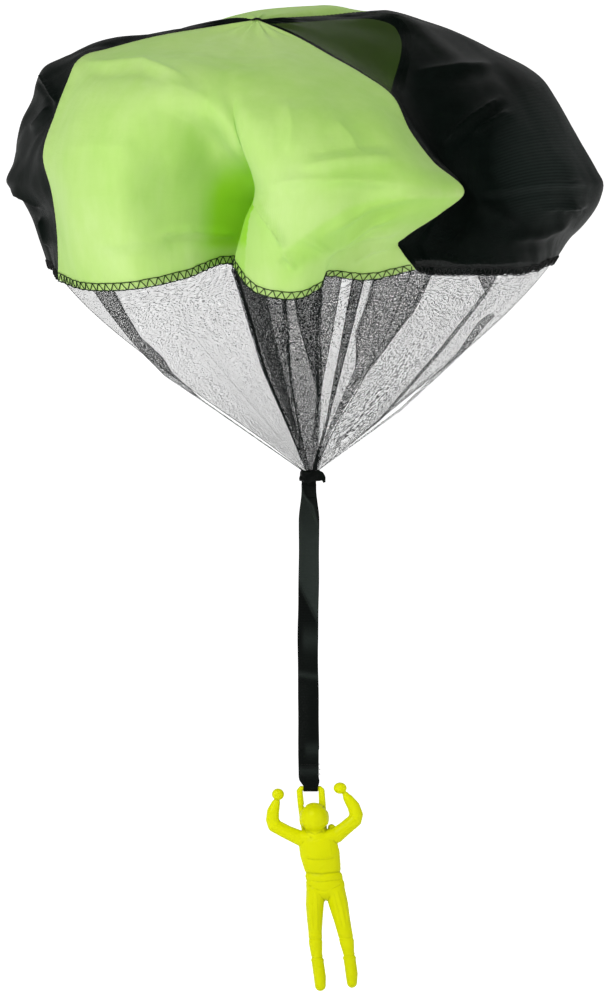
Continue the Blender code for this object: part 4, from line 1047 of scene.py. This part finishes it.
# ---------------------------------------------------------------- knot and ribbon
RIB_T = 0.00034          # one layer of ribbon
neck_z = gather[2] - 0.0004 - NET_SEAM_R
KNOT_TALL = 0.0048
ribbon_x = place(308.5, 600, HANG_DEPTH)[0]
hang_y = HANG_DEPTH / 1000.0
bar = place(BAR_U, BAR_V, HANG_DEPTH)
knot_low = neck_z - KNOT_TALL
side_z = knot_low - 0.0004 - 0.0036
fore_z = side_z - 0.0090
bend_z = place(0, 585, HANG_DEPTH)[2]
twist_z = place(0, 675, HANG_DEPTH)[2]


def strip(centre, across, normal, width, thick, columns=13, curl=0.0, uv_run=None):
    """A closed flat band that follows centre, with its edges rounded. All arrays have one row per station."""
    n = len(centre)
    t = np.linspace(-1, 1, columns)
    w = np.broadcast_to(np.asarray(width, float), (n,))[:, None]
    th = np.broadcast_to(np.asarray(thick, float), (n,))[:, None]
    cu = np.broadcast_to(np.asarray(curl, float), (n,))[:, None]
    edge = np.sqrt(np.clip(1 - np.clip((np.abs(t) - 0.93) / 0.07, 0, 1) ** 2, 0.12, 1))[None]
    lift = cu * (t[None] ** 2 - 0.35)
    front = centre[:, None] + across[:, None] * (w * t[None] / 2)[..., None] + normal[:, None] * (lift + th / 2 * edge)[..., None]
    back = centre[:, None] + across[:, None] * (w * t[None] / 2)[..., None] + normal[:, None] * (lift - th / 2 * edge)[..., None]
    ring = np.concatenate([front, back[:, ::-1]], axis=1)
    k = ring.shape[1]
    faces = [list(f) for f in grid_faces(n, k, closed=True)]
    faces.append(list(range(k))[::-1])
    faces.append([(n - 1) * k + i for i in range(k)])
    if uv_run is None:
        uv_run = np.concatenate([[0], np.cumsum(np.linalg.norm(np.diff(centre, axis=0), axis=1))])
    uv_across = np.concatenate([w * t[None] / 2, (w * t[None] / 2)[:, ::-1]], axis=1)
    uv = np.stack([uv_across, np.repeat(np.asarray(uv_run)[:, None], k, axis=1)], axis=-1)
    return ring.reshape(-1, 3), faces, uv.reshape(-1, 2)


def joined(name, parts, mat, shade=True, tone=None):
    points, faces, uvs, base = [], [], [], 0
    for p, f, uv in parts:
        points.append(p)
        faces += [[base + i for i in one] for one in f]
        uvs.append(uv)
        base += len(p)
    return piece(name, np.concatenate(points), faces, mat, uv=np.concatenate(uvs), shade=shade,
                 values=None if tone is None else {"tone": np.concatenate(tone)})


def ribbon_shape(z):
    """Half a millimetre of life in the ribbon: where its middle lies, how wide and how curled it is at height z."""
    v = CROWN_V - (z + hang_y * SIGHT) / UNIT
    x = ribbon_x + UNIT * (0.16 * np.sin((v - 480) / 41.0) + 0.10 * np.sin((v - 470) / 17.0 + 1.0))
    x = x + (bar[0] - ribbon_x) * (1 - smooth(z, bar[2] + 0.0005, bar[2] + 0.006))
    pinch = smooth(v, 479, 486)
    width = 0.0072 + (RIBBON_WIDE + 0.0003 - 0.0072) * smooth(v, 488, 520) * pinch
    width = np.where(v < 484, 0.0070, width) + 0.00012 * np.sin(v / 9.0)
    curl = 0.0009 * np.sin((v - 500) / 46.0) + 0.0006 * (1 - smooth(v, 484, 520)) + 0.0005 * np.sin((v - 640) / 17.0) * smooth(v, 640, 690)
    return x, width, curl, v


# The ribbon's front layer turns over twice on its way down, which leaves a diagonal ridge each time.
RIDGES = [((301, 484), (317, 522)), ((299, 582), (317, 620))]


def facet_tone(u, v):
    """How much light each facet of the ribbon's front catches, 0 to 1."""
    far, s, _ = from_line(u, v, [(299.5, 478), (303, 494), (313, 506), (318, 524)])
    first = smooth(far * s, -0.5, 0.7)
    rim = np.exp(-(far / 1.1) ** 2)
    far, s, _ = from_line(u, v, [(296, 574), (299, 582), (308, 600), (317, 618), (320, 624)])
    second = smooth(far * s, -0.5, 0.7)
    edge2 = np.exp(-((far - 1.2 * s) / 1.3) ** 2)
    tone = 0.02 + 0.34 * first * (1 - second) * (0.6 + 0.4 * smooth(v, 500, 560)) + 0.20 * rim * (v < 530) + 0.16 * edge2 * (v > 560)
    tone = tone + 0.20 * np.exp(-((v - 640) / 11.0) ** 2) * smooth(u, 300, 306) + 0.22 * np.exp(-((v - 676 - 0.15 * (u - 308)) / 3.0) ** 2)
    tone = tone + 0.20 * np.exp(-((v - 750) / 6.0) ** 2) * smooth(u, 303, 308) + 0.16 * np.exp(-((v - 772) / 4.0) ** 2)
    return np.clip(tone, 0, 1)


def hanging(z0, z1, name):
    z = np.arange(z0, z1, -0.00045)
    z = np.concatenate([z, [z1]])
    x, width, curl, v = ribbon_shape(z)
    centre = np.stack([x, np.full_like(z, hang_y), z], axis=1)
    across = np.tile([1.0, 0, 0], (len(z), 1))
    normal = np.tile([0, -1.0, 0], (len(z), 1))
    run = -(z - knot_low)
    parts, tones_ = [], []
    for layer, side in ((0, 1), (1, -1)):
        c = centre + normal * (side * 0.00022)
        shift = 0.00022 * np.sin(v / (37.0 + 9 * layer) + layer * 2.0)
        c = c + across * shift[:, None]
        p, f, uv = strip(c, across, normal, width - 0.0003 * layer, RIB_T, columns=29, curl=curl, uv_run=run)
        if layer == 0:
            u, vv = elevation(p)
            out = np.zeros(len(p))
            for (u0, v0), (u1, v1) in RIDGES:
                # above the diagonal the ribbon is turned over and lies a layer higher
                far, s, t = from_line(u, vv, [(u0 - 3, v0 - 3 * (v1 - v0) / (u1 - u0)), (u1 + 3, v1 + 3 * (v1 - v0) / (u1 - u0))])
                d = far * s
                near = 1 - smooth(np.abs(vv - (v0 + v1) / 2), 20, 60)
                slope = np.clip(d / 14.0, -0.2, 1.0) * (d > 0)
                ridge = np.exp(-np.abs(d / 1.1) ** 1.4) * (1 - smooth(np.abs(vv - (v0 + v1) / 2), 18, 30))
                out = out + 0.0025 * slope * near + 0.00055 * ridge
            p = p + np.array([0, -1.0, 0]) * out[:, None]
            tones_.append(facet_tone(u, vv))
        else:
            tones_.append(np.full(len(p), 0.25))
        parts.append((p, f, uv))
    return joined(name, parts, RIBBON, tone=tones_)


neck = hanging(knot_low + 0.0014, -0.2290, "ribbon_under_knot")
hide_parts("ribbon_neck")
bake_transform(neck)
first = hanging(-0.2290, -0.2570, "ribbon_top_length")
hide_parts("ribbon_upper")
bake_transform(first)
second = hanging(-0.2570, -0.2880, "ribbon_second_length")
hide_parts("ribbon_upper", "ribbon_middle")
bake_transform(second)
third = hanging(-0.2880, -0.3500, "ribbon_third_length")
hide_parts("ribbon_middle", "ribbon_lower_loop")
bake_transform(third)

# the loop round the bar: front layer down, under the bar and up behind
r_in = BAR_R + 0.00032 + RIB_T / 2
down_z = np.arange(-0.3500, bar[2] + 0.0006, -0.0004)
x, width, curl, v = ribbon_shape(down_z)
gone = 1 - smooth(down_z, bar[2] + 0.003, bar[2] + 0.012)
front_off = 0.00022 + (r_in - 0.00022) * gone
low_gone = 1 - smooth(down_z, bar[2] - 0.0002, bar[2] + 0.0042)
width = width * (1 - low_gone) + 0.0066 * low_gone
path_f = np.stack([x, hang_y - front_off, down_z], axis=1)
turn = np.linspace(0, math.pi, 25)[1:-1]
path_t = np.stack([np.full_like(turn, bar[0]), hang_y - r_in * np.cos(turn), bar[2] - r_in * np.sin(turn)], axis=1)
path_b = np.stack([x, hang_y + front_off, down_z], axis=1)[::-1]
centre = np.concatenate([path_f, path_t, path_b])
t = normalised(np.gradient(centre, axis=0))
across = np.tile([1.0, 0, 0], (len(centre), 1))
normal = normalised(np.cross(across, t))
normal = np.where((normal[:, 1:2] > 0) & (np.arange(len(centre))[:, None] < len(path_f)), -normal, normal)
w_all = np.concatenate([width, np.full(len(turn), width[-1]), width[::-1] - 0.0003])
c_all = np.concatenate([curl * (1 - gone) - 0.0004 * gone, np.full(len(turn), -0.0004), (curl * (1 - gone) - 0.0004 * gone)[::-1]])
parts = [strip(centre, across, normal, w_all, RIB_T, columns=29, curl=c_all * 0.0,
               uv_run=np.concatenate([[0], np.cumsum(np.linalg.norm(np.diff(centre, axis=0), axis=1))]) + 0.123)]
lu, lv = elevation(parts[0][0])
loop = joined("ribbon_loop", parts, RIBBON, tone=[facet_tone(lu, lv)])
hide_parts("ribbon_lower_loop")
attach(loop, "ribbon_lower")

# stitches that close the loop, and the frayed threads at the ribbon's right edge
parts = []
for row in range(2):
    z = bar[2] + 0.0098 + row * 0.0016
    for k in range(6):
        x0 = ribbon_x - 0.0036 + k * 0.00125
        s = np.linspace(0, 1, 7)
        p = np.stack([x0 + s * 0.00095, np.full(7, hang_y - 0.00062) - 0.00012 * np.sin(s * math.pi), z + 0.0001 * (s - 0.5)], axis=1)
        parts.append(tube(p, 0.00015, (0, 1, 0)))
for k in range(9):
    z0 = place(0, 764 + k * 1.5, HANG_DEPTH)[2]
    s = np.linspace(0, 1, 8)
    p = np.stack([ribbon_x + 0.0043 + 0.0012 * s * (1 + 0.4 * math.sin(k * 2.1)), hang_y - 0.0004 + 0.0003 * np.sin(s * 3 + k),
                  z0 - 0.0005 * s + 0.0005 * math.sin(k * 1.7) * s * s], axis=1)
    parts.append(tube(p, 0.00009, (0, 1, 0), sides=5))
points, faces = gathered(parts)
sewn = piece("loop_stitches", points, faces, BLACK_THREAD)
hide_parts("loop_stitching")
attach(sewn, "ribbon_lower")

# the knot: turns of ribbon drawn tight round the gathered net
parts = []
cx, cy, cz = gather[0], gather[1], neck_z - KNOT_TALL / 2
for k, (tilt, r, w, z_off, turn_by) in enumerate(((0.16, 0.00485, 0.0040, 0.0002, 0.0), (-0.20, 0.00525, 0.0033, 0.0006, 1.1),
                                                  (0.05, 0.00560, 0.0026, -0.0006, 2.3))):
    a = np.linspace(0, 2 * math.pi * 1.0, 97)
    wob = 1 + 0.04 * np.sin(a * 3 + turn_by) + 0.02 * np.sin(a * 5 + k)
    c = np.stack([cx + r * wob * np.cos(a), cy + r * 0.80 * wob * np.sin(a),
                  cz + z_off + tilt * r * np.sin(a + turn_by) + 0.0002 * np.sin(a * 4 + k)], axis=1)
    radial = normalised(np.stack([np.cos(a), np.sin(a) / 0.8, 0 * a], axis=1))
    up = normalised(np.stack([-0.15 * np.cos(a), -0.15 * np.sin(a), 1 + 0 * a], axis=1))
    parts.append(strip(c, up, radial, w * (1 + 0.12 * np.sin(a * 2 + turn_by)), RIB_T, columns=15, curl=-0.0004))
knot = joined("ribbon_knot_turns", parts, RIBBON)
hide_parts("ribbon_knot", "net_gathered_end")
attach(knot, "canopy")

# the free tail lies across the knot's right side and droops to a point
s = np.linspace(0, 1, 48)
front_y = gather[1] - 0.0061 * 0.80 - 0.0009
tx = np.interp(s, [0, 0.25, 0.5, 0.75, 1], [-0.0036, 0.0000, 0.0030, 0.0046, 0.0052]) + gather[0] + 0.0012
tz = np.interp(s, [0, 0.25, 0.5, 0.75, 1], [-0.0034, -0.0016, -0.0012, -0.0024, -0.0046]) + neck_z
ty = front_y + 0.0003 * np.sin(s * 5) + 0.0012 * s
for _ in range(8):
    tx[1:-1] = (tx[:-2] + 2 * tx[1:-1] + tx[2:]) / 4
    tz[1:-1] = (tz[:-2] + 2 * tz[1:-1] + tz[2:]) / 4
centre = np.stack([tx, ty, tz - 0.0004], axis=1)
t = normalised(np.gradient(centre, axis=0))
normal = np.tile([0.0, -1.0, 0.25], (len(s), 1))
normal = normalised(normal - (normal * t).sum(1)[:, None] * t)
across = np.cross(t, normal)
tail = joined("ribbon_knot_free_tail", [strip(centre, across, normal, 0.0046 * (1 - 0.72 * smooth(s, 0.45, 1.0)), RIB_T, columns=15, curl=0.0004)], RIBBON)
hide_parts("ribbon_knot_tail")
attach(tail, "canopy")

# ---------------------------------------------------------------- figure
BODY = HANG_DEPTH - 3.0
MM = 0.001
PX = UNIT / 6.533


def fig(u, v, back=0.0):
    return Vector(place(255 + u / 6.533, 760 + v / 6.533, BODY + back))


one = bmesh.new()
bmesh.ops.create_uvsphere(one, u_segments=24, v_segments=14, radius=1.0)
unit_ball = bpy.data.meshes.new("unit_ball")
one.to_mesh(unit_ball)
one.free()


def ball(bm, centre, rx, ry, rz):
    copy = unit_ball.copy()
    copy.transform(Matrix.Translation(centre) @ Matrix.Diagonal((rx, ry, rz, 1)))
    bm.from_mesh(copy)
    bpy.data.meshes.remove(copy)


def limb(bm, points):
    for c, rx, ry in points:
        ball(bm, c, rx, ry, (rx + ry) / 2)
    for (a, ax, ay), (b, bx, by) in zip(points, points[1:]):
        d = b - a
        steps = max(2, int(d.length / (0.30 * min(ax, ay, bx, by))))
        for k in range(1, steps):
            f = k / steps
            rx, ry = ax + (bx - ax) * f, ay + (by - ay) * f
            ball(bm, a + d * f, rx, ry, (rx + ry) / 2)


bm = bmesh.new()
# helmet and head, with the ear cups
ball(bm, fig(386, 380, -1.2), 93 * PX, 7.4 * MM, 96 * PX)
ball(bm, fig(303, 392, -0.6), 14 * PX, 2.6 * MM, 46 * PX)
ball(bm, fig(470, 386, -0.6), 14 * PX, 2.6 * MM, 46 * PX)
# neck and shoulders
limb(bm, [(fig(393, 470, 0.2), 66 * PX, 4.6 * MM), (fig(400, 515, 0.4), 84 * PX, 4.8 * MM)])
limb(bm, [(fig(318, 515, 0.4), 50 * PX, 3.9 * MM), (fig(400, 540, 0.4), 62 * PX, 5.0 * MM),
          (fig(510, 500, 0.4), 50 * PX, 3.9 * MM)])
# torso down to the hips
limb(bm, [(fig(412, 560, 0.2), 128 * PX, 5.4 * MM), (fig(424, 620, 0.0), 132 * PX, 5.5 * MM),
          (fig(437, 690, 0.0), 124 * PX, 5.1 * MM), (fig(446, 745, 0.1), 117 * PX, 4.8 * MM),
          (fig(453, 790, 0.1), 122 * PX, 5.0 * MM), (fig(460, 830, 0.2), 128 * PX, 5.2 * MM)])
# pack on the back
limb(bm, [(fig(405, 545, 4.6), 84 * PX, 2.8 * MM), (fig(428, 690, 4.4), 84 * PX, 2.8 * MM)])
ball(bm, fig(500, 445, 1.6), 24 * PX, 2.0 * MM, 20 * PX)
# arms, raised, with fists
limb(bm, [(fig(300, 520, 0.2), 52 * PX, 3.6 * MM), (fig(210, 480, 0.2), 46 * PX, 3.3 * MM),
          (fig(128, 436, 0.2), 46 * PX, 3.2 * MM), (fig(114, 398, 0.2), 44 * PX, 3.1 * MM),
          (fig(118, 345, 0.2), 41 * PX, 2.9 * MM), (fig(134, 296, 0.2), 30 * PX, 2.2 * MM),
          (fig(142, 275, 0.2), 23 * PX, 1.8 * MM)])
ball(bm, fig(150, 231, 0.0), 41 * PX, 2.8 * MM, 39 * PX)
limb(bm, [(fig(530, 500, 0.2), 54 * PX, 3.6 * MM), (fig(590, 452, 0.2), 48 * PX, 3.4 * MM),
          (fig(650, 402, 0.2), 48 * PX, 3.3 * MM), (fig(662, 365, 0.2), 45 * PX, 3.2 * MM),
          (fig(645, 312, 0.2), 42 * PX, 3.0 * MM), (fig(608, 258, 0.2), 32 * PX, 2.2 * MM),
          (fig(594, 238, 0.2), 24 * PX, 1.8 * MM)])
ball(bm, fig(556, 190, 0.0), 44 * PX, 2.8 * MM, 38 * PX)
# legs and boots, toes down
limb(bm, [(fig(400, 850, 0.2), 66 * PX, 4.6 * MM), (fig(391, 950, 0.1), 61 * PX, 4.3 * MM),
          (fig(391, 1050, 0.0), 53 * PX, 3.9 * MM), (fig(393, 1130, -0.2), 46 * PX, 3.5 * MM),
          (fig(396, 1200, 0.3), 46 * PX, 3.5 * MM), (fig(402, 1275, 0.3), 39 * PX, 3.0 * MM)])
limb(bm, [(fig(406, 1302, 0.2), 40 * PX, 3.2 * MM), (fig(414, 1360, 0.0), 41 * PX, 3.4 * MM),
          (fig(424, 1430, -0.8), 41 * PX, 3.7 * MM), (fig(427, 1484, -1.6), 37 * PX, 2.9 * MM)])
limb(bm, [(fig(520, 850, 0.2), 68 * PX, 4.6 * MM), (fig(545, 950, 0.1), 65 * PX, 4.3 * MM),
          (fig(568, 1050, 0.0), 55 * PX, 3.9 * MM), (fig(586, 1130, -0.2), 50 * PX, 3.5 * MM),
          (fig(601, 1200, 0.3), 48 * PX, 3.5 * MM), (fig(611, 1262, 0.3), 39 * PX, 3.0 * MM)])
limb(bm, [(fig(615, 1290, 0.2), 41 * PX, 3.2 * MM), (fig(624, 1350, 0.0), 41 * PX, 3.4 * MM),
          (fig(632, 1410, -0.8), 41 * PX, 3.7 * MM), (fig(634, 1464, -1.6), 35 * PX, 2.9 * MM)])
# bail: two legs from behind the helmet, joined by the bar that the ribbon goes round
leg_y = 3.0
limb(bm, [(fig(291, 210, leg_y), 21 * PX, 1.3 * MM), (fig(300, 300, leg_y), 22 * PX, 1.4 * MM),
          (fig(318, 400, leg_y), 26 * PX, 1.8 * MM), (fig(340, 500, leg_y), 30 * PX, 2.4 * MM)])
limb(bm, [(fig(435, 206, leg_y), 21 * PX, 1.3 * MM), (fig(440, 300, leg_y), 24 * PX, 1.4 * MM),
          (fig(442, 400, leg_y), 28 * PX, 1.8 * MM), (fig(440, 500, leg_y), 32 * PX, 2.4 * MM)])
bar_v = (BAR_V - 760) * 6.533
limb(bm, [(fig(288, 206, leg_y), 15 * PX, 1.1 * MM), (fig(301, bar_v + 1, leg_y), BAR_R, BAR_R),
          (fig(425, bar_v + 1, leg_y), BAR_R, BAR_R), (fig(438, 203, leg_y), 15 * PX, 1.1 * MM)])

shape = bpy.data.meshes.new("figure_rough")
bm.to_mesh(shape)
bm.free()
rough = bpy.data.objects.new("figure_rough", shape)
bpy.context.scene.collection.objects.link(rough)
melt = rough.modifiers.new("melt", "REMESH")
melt.mode = "VOXEL"
melt.voxel_size = 0.00027
soften = rough.modifiers.new("soften", "SMOOTH")
soften.factor = 0.5
soften.iterations = 7
bpy.context.view_layer.update()
graph = bpy.context.evaluated_depsgraph_get()
moulded = bpy.data.meshes.new_from_object(rough.evaluated_get(graph))
bpy.data.objects.remove(rough, do_unlink=True)
count = len(moulded.vertices)
co = np.empty(count * 3, np.float32)
no = np.empty(count * 3, np.float32)
moulded.vertices.foreach_get("co", co)
moulded.vertices.foreach_get("normal", no)
co, no = co.reshape(-1, 3).astype(float), no.reshape(-1, 3).astype(float)

# raised and sunk lines of the moulding: line on fig's grid, half width in its units, height in millimetres, faces
LINES = [
    ([(325, 652), (400, 661), (470, 657), (540, 641)], 7, -0.20, 1),
    ([(330, 636), (400, 643), (470, 640), (536, 626)], 9, 0.20, 1),
    ([(312, 744), (430, 751), (572, 738)], 8, -0.30, 2),
    ([(314, 766), (437, 775), (574, 760)], 13, 0.20, 2),
    ([(314, 794), (440, 803), (576, 788)], 6, -0.20, 2),
    ([(330, 818), (400, 852), (455, 868), (500, 852), (580, 812)], 7, -0.22, 1),
    ([(430, 700), (438, 712)], 22, 0.20, 1),
    ([(352, 856), (354, 1000), (366, 1124)], 7, 0.22, 1),
    ([(376, 856), (379, 1000), (385, 1130)], 6, -0.16, 1),
    ([(398, 860), (404, 1000), (404, 1130)], 7, 0.26, 1),
    ([(492, 862), (528, 1000), (560, 1120)], 7, 0.22, 1),
    ([(512, 862), (548, 1000), (577, 1120)], 6, -0.16, 1),
    ([(532, 856), (568, 980), (592, 1110)], 7, 0.26, 1),
    ([(566, 852), (592, 960), (608, 1080)], 5, 0.18, 1),
    ([(330, 1180), (445, 1184)], 7, -0.20, 2),
    ([(352, 1154), (434, 1157)], 11, 0.20, 1),
    ([(538, 1176), (664, 1170)], 7, -0.20, 2),
    ([(552, 1150), (640, 1146)], 11, 0.20, 1),
    ([(344, 1303), (460, 1300)], 7, -0.28, 2),
    ([(350, 1320), (462, 1317)], 9, 0.20, 2),
    ([(556, 1291), (668, 1284)], 7, -0.28, 2),
    ([(562, 1308), (672, 1301)], 9, 0.20, 2),
    ([(392, 1370), (440, 1366)], 5, -0.12, 1),
    ([(600, 1356), (648, 1350)], 5, -0.12, 1),
    ([(386, 1424), (468, 1420)], 5, -0.16, -1),
    ([(592, 1406), (674, 1402)], 5, -0.16, -1),
    ([(314, 428), (318, 356), (346, 318), (386, 305), (428, 316), (454, 354), (458, 424)], 6, -0.12, 1),
    ([(334, 472), (393, 494), (452, 470)], 9, -0.28, 1),
    ([(350, 508), (395, 534), (444, 506)], 7, -0.16, 1),
    ([(318, 300), (330, 312)], 9, -0.35, 0),
    ([(446, 306), (458, 318)], 9, -0.35, 0),
    ([(330, 540), (346, 640)], 7, 0.14, 1),
    ([(486, 530), (496, 632)], 7, 0.14, 1),
    ([(126, 222), (176, 216)], 5, -0.12, 0),
    ([(128, 244), (172, 240)], 5, -0.12, 0),
    ([(530, 178), (582, 184)], 5, -0.12, 0),
    ([(534, 200), (580, 206)], 5, -0.12, 0),
    ([(118, 262), (166, 274)], 6, -0.20, 2),
    ([(570, 246), (620, 226)], 6, -0.20, 2),
    ([(92, 440), (124, 424), (150, 396)], 7, -0.16, 1),
    ([(624, 362), (650, 392), (676, 410)], 7, -0.16, 1),
    ([(336, 500), (330, 560), (344, 742)], 6, -0.25, -1),
    ([(488, 490), (500, 560), (520, 735)], 6, -0.25, -1),
    ([(344, 620), (512, 608)], 6, -0.25, -1),
    ([(350, 670), (516, 660)], 8, 0.20, -1),
]
eu, ev = elevation(co)
gu, gv = (eu - 255) * 6.533, (ev - 760) * 6.533
lift = np.zeros(count)
for line, wide, high, way in LINES:
    far, s, t = from_line(gu, gv, line)
    ends = smooth(t, 0.0, 0.12) * smooth(1 - t, 0.0, 0.12) if way != 2 else 1.0
    facing = smooth(-no[:, 1], 0.0, 0.5) if way == 1 else smooth(no[:, 1], 0.0, 0.5) if way == -1 else 1.0
    lift += 1.1 * np.exp(-(far / wide) ** 2) * high * MM * ends * facing
co = co + no * lift[:, None]
moulded.vertices.foreach_set("co", co.astype(np.float32).ravel())
# painted shade in the hollows of the moulding: where the neighbours stand higher than the point itself, the colour is
# darkened
edges = np.empty(len(moulded.edges) * 2, np.int32)
moulded.edges.foreach_get("vertices", edges)
ea, eb = edges.reshape(-1, 2).T
many = np.bincount(ea, minlength=count) + np.bincount(eb, minlength=count) + 1e-9
spread_co = co.copy()
for _ in range(24):
    total = np.stack([np.bincount(ea, spread_co[eb, k], count) + np.bincount(eb, spread_co[ea, k], count) for k in range(3)], axis=1)
    spread_co = total / many[:, None]
raised = ((spread_co - co) * no).sum(1)
moulded.attributes.new("painted_hollow_shade", "FLOAT", "POINT").data.foreach_set("value", (0.60 * smooth(raised, 0.00003, 0.00024)).astype(np.float32))
moulded.polygons.foreach_set("use_smooth", np.ones(len(moulded.polygons), bool))
moulded.materials.clear()
moulded.materials.append(YELLOW)
moulded.update()
figure = bpy.data.objects.new("moulded_paratrooper", moulded)
bpy.context.scene.collection.objects.link(figure)
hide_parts("paratrooper_figure")
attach(figure, "figure")

# ---------------------------------------------------------------- floor, light and camera
def plain_stage(name, points, faces, colour):
    data = bpy.data.meshes.new(name)
    data.from_pydata(points, [], faces)
    n = Nodes(name)
    tone = n.ramp(n.noise(3.0, 2.0), [(0.3, tuple(c * 0.985 for c in colour)), (0.7, colour)])
    face = n.new("ShaderNodeBsdfPrincipled", {"Base Color": tone, "Roughness": 0.9, "Specular IOR Level": 0.1})
    # painted light: the floor glows, weakly near the toy and fully from about 0.68 m out, standing in for a lit studio
    # sweep
    s = n.new("ShaderNodeSeparateXYZ", {"Vector": n.new("ShaderNodeTexCoord").outputs["Object"]})
    far = n.math("SQRT", n.math("ADD", n.math("MULTIPLY", s.outputs[0], s.outputs[0]), n.math("MULTIPLY", s.outputs[1], s.outputs[1])))
    glow = n.ramp(n.math("DIVIDE", far, 2.0), [(0.06, (0.30, 0.30, 0.30)), (0.34, (1, 1, 1))])
    n.t.links.new(glow, face.inputs["Emission Color"])
    face.inputs["Emission Strength"].default_value = FLOOR_GLOW
    data.materials.append(n.finish(face.outputs[0]))
    for p in data.polygons:
        p.use_smooth = True
    obj = bpy.data.objects.new(name, data)
    bpy.context.scene.collection.objects.link(obj)
    obj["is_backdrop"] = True
    return obj


floor_z = -0.52
plain_stage("floor", [(-60, -60, floor_z), (60, -60, floor_z), (60, 60, floor_z), (-60, 60, floor_z)], [(0, 1, 2, 3)], (0.93, 0.93, 0.93))

world = bpy.data.worlds.new("studio")
bpy.context.scene.world = world
world.use_nodes = True
background = world.node_tree.nodes["Background"]
background.inputs["Strength"].default_value = 1.0
sky = world.node_tree.nodes.new("ShaderNodeTexCoord")
split = world.node_tree.nodes.new("ShaderNodeSeparateXYZ")
tones = world.node_tree.nodes.new("ShaderNodeValToRGB")
# the sweep behind the toy is lit as white as the floor, up to a few degrees
tones.color_ramp.elements[0].position, tones.color_ramp.elements[0].color = 0.05, (1.02, 1.02, 1.02, 1)
first = tones.color_ramp.elements.new(0.11)
first.color = (WORLD_LIGHT,) * 3 + (1,)
tones.color_ramp.elements[2].position, tones.color_ramp.elements[2].color = 0.9, (WORLD_TOP,) * 3 + (1,)
world.node_tree.links.new(sky.outputs["Generated"], split.inputs[0])
world.node_tree.links.new(split.outputs[2], tones.inputs[0])
world.node_tree.links.new(tones.outputs[0], background.inputs["Color"])


def area(name, where, to, size, watts, colour=(1, 1, 1)):
    light = bpy.data.lights.new(name, "AREA")
    light.shape = "RECTANGLE"
    light.size, light.size_y = size
    light.energy = watts
    light.color = colour
    obj = bpy.data.objects.new(name, light)
    bpy.context.scene.collection.objects.link(obj)
    obj.location = where
    obj.rotation_mode = "QUATERNION"
    obj.rotation_quaternion = (Vector(to) - Vector(where)).to_track_quat("-Z", "Y")
    obj.visible_camera = False
    return obj


middle = Vector((0.022, 0.0, -0.15))
area("key", (-0.80, -1.25, 0.70), middle, (0.6, 0.6), KEY)
area("fill", (1.1, -1.1, 0.35), middle, (0.8, 0.8), FILL)
area("rim", (0.4, 1.2, 0.7), middle, (0.8, 0.6), RIM)

scene = bpy.context.scene
scene.view_settings.view_transform = "Standard"
scene.view_settings.look = "None"
scene.view_settings.exposure = 0.0
scene.view_settings.gamma = 1.0
lens_data = bpy.data.cameras.new("camera")
camera = bpy.data.objects.new("camera", lens_data)
scene.collection.objects.link(camera)
target = Vector(place(303, 500, 0.0))
elevation_angle = math.radians(4.0)
back_way = Vector((0, -math.cos(elevation_angle), math.sin(elevation_angle)))
far = 12.0
camera.location = target + back_way * far
camera.rotation_mode = "QUATERNION"
camera.rotation_quaternion = (-back_way).to_track_quat("-Z", "Y")
lens_data.sensor_fit = "AUTO"
lens_data.sensor_width = 36.0
lens_data.lens = 36.0 * far / (1000 * UNIT)
lens_data.clip_start, lens_data.clip_end = 1.0, 200.0
lens_data.dof.use_dof = False
scene.camera = camera

low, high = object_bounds()
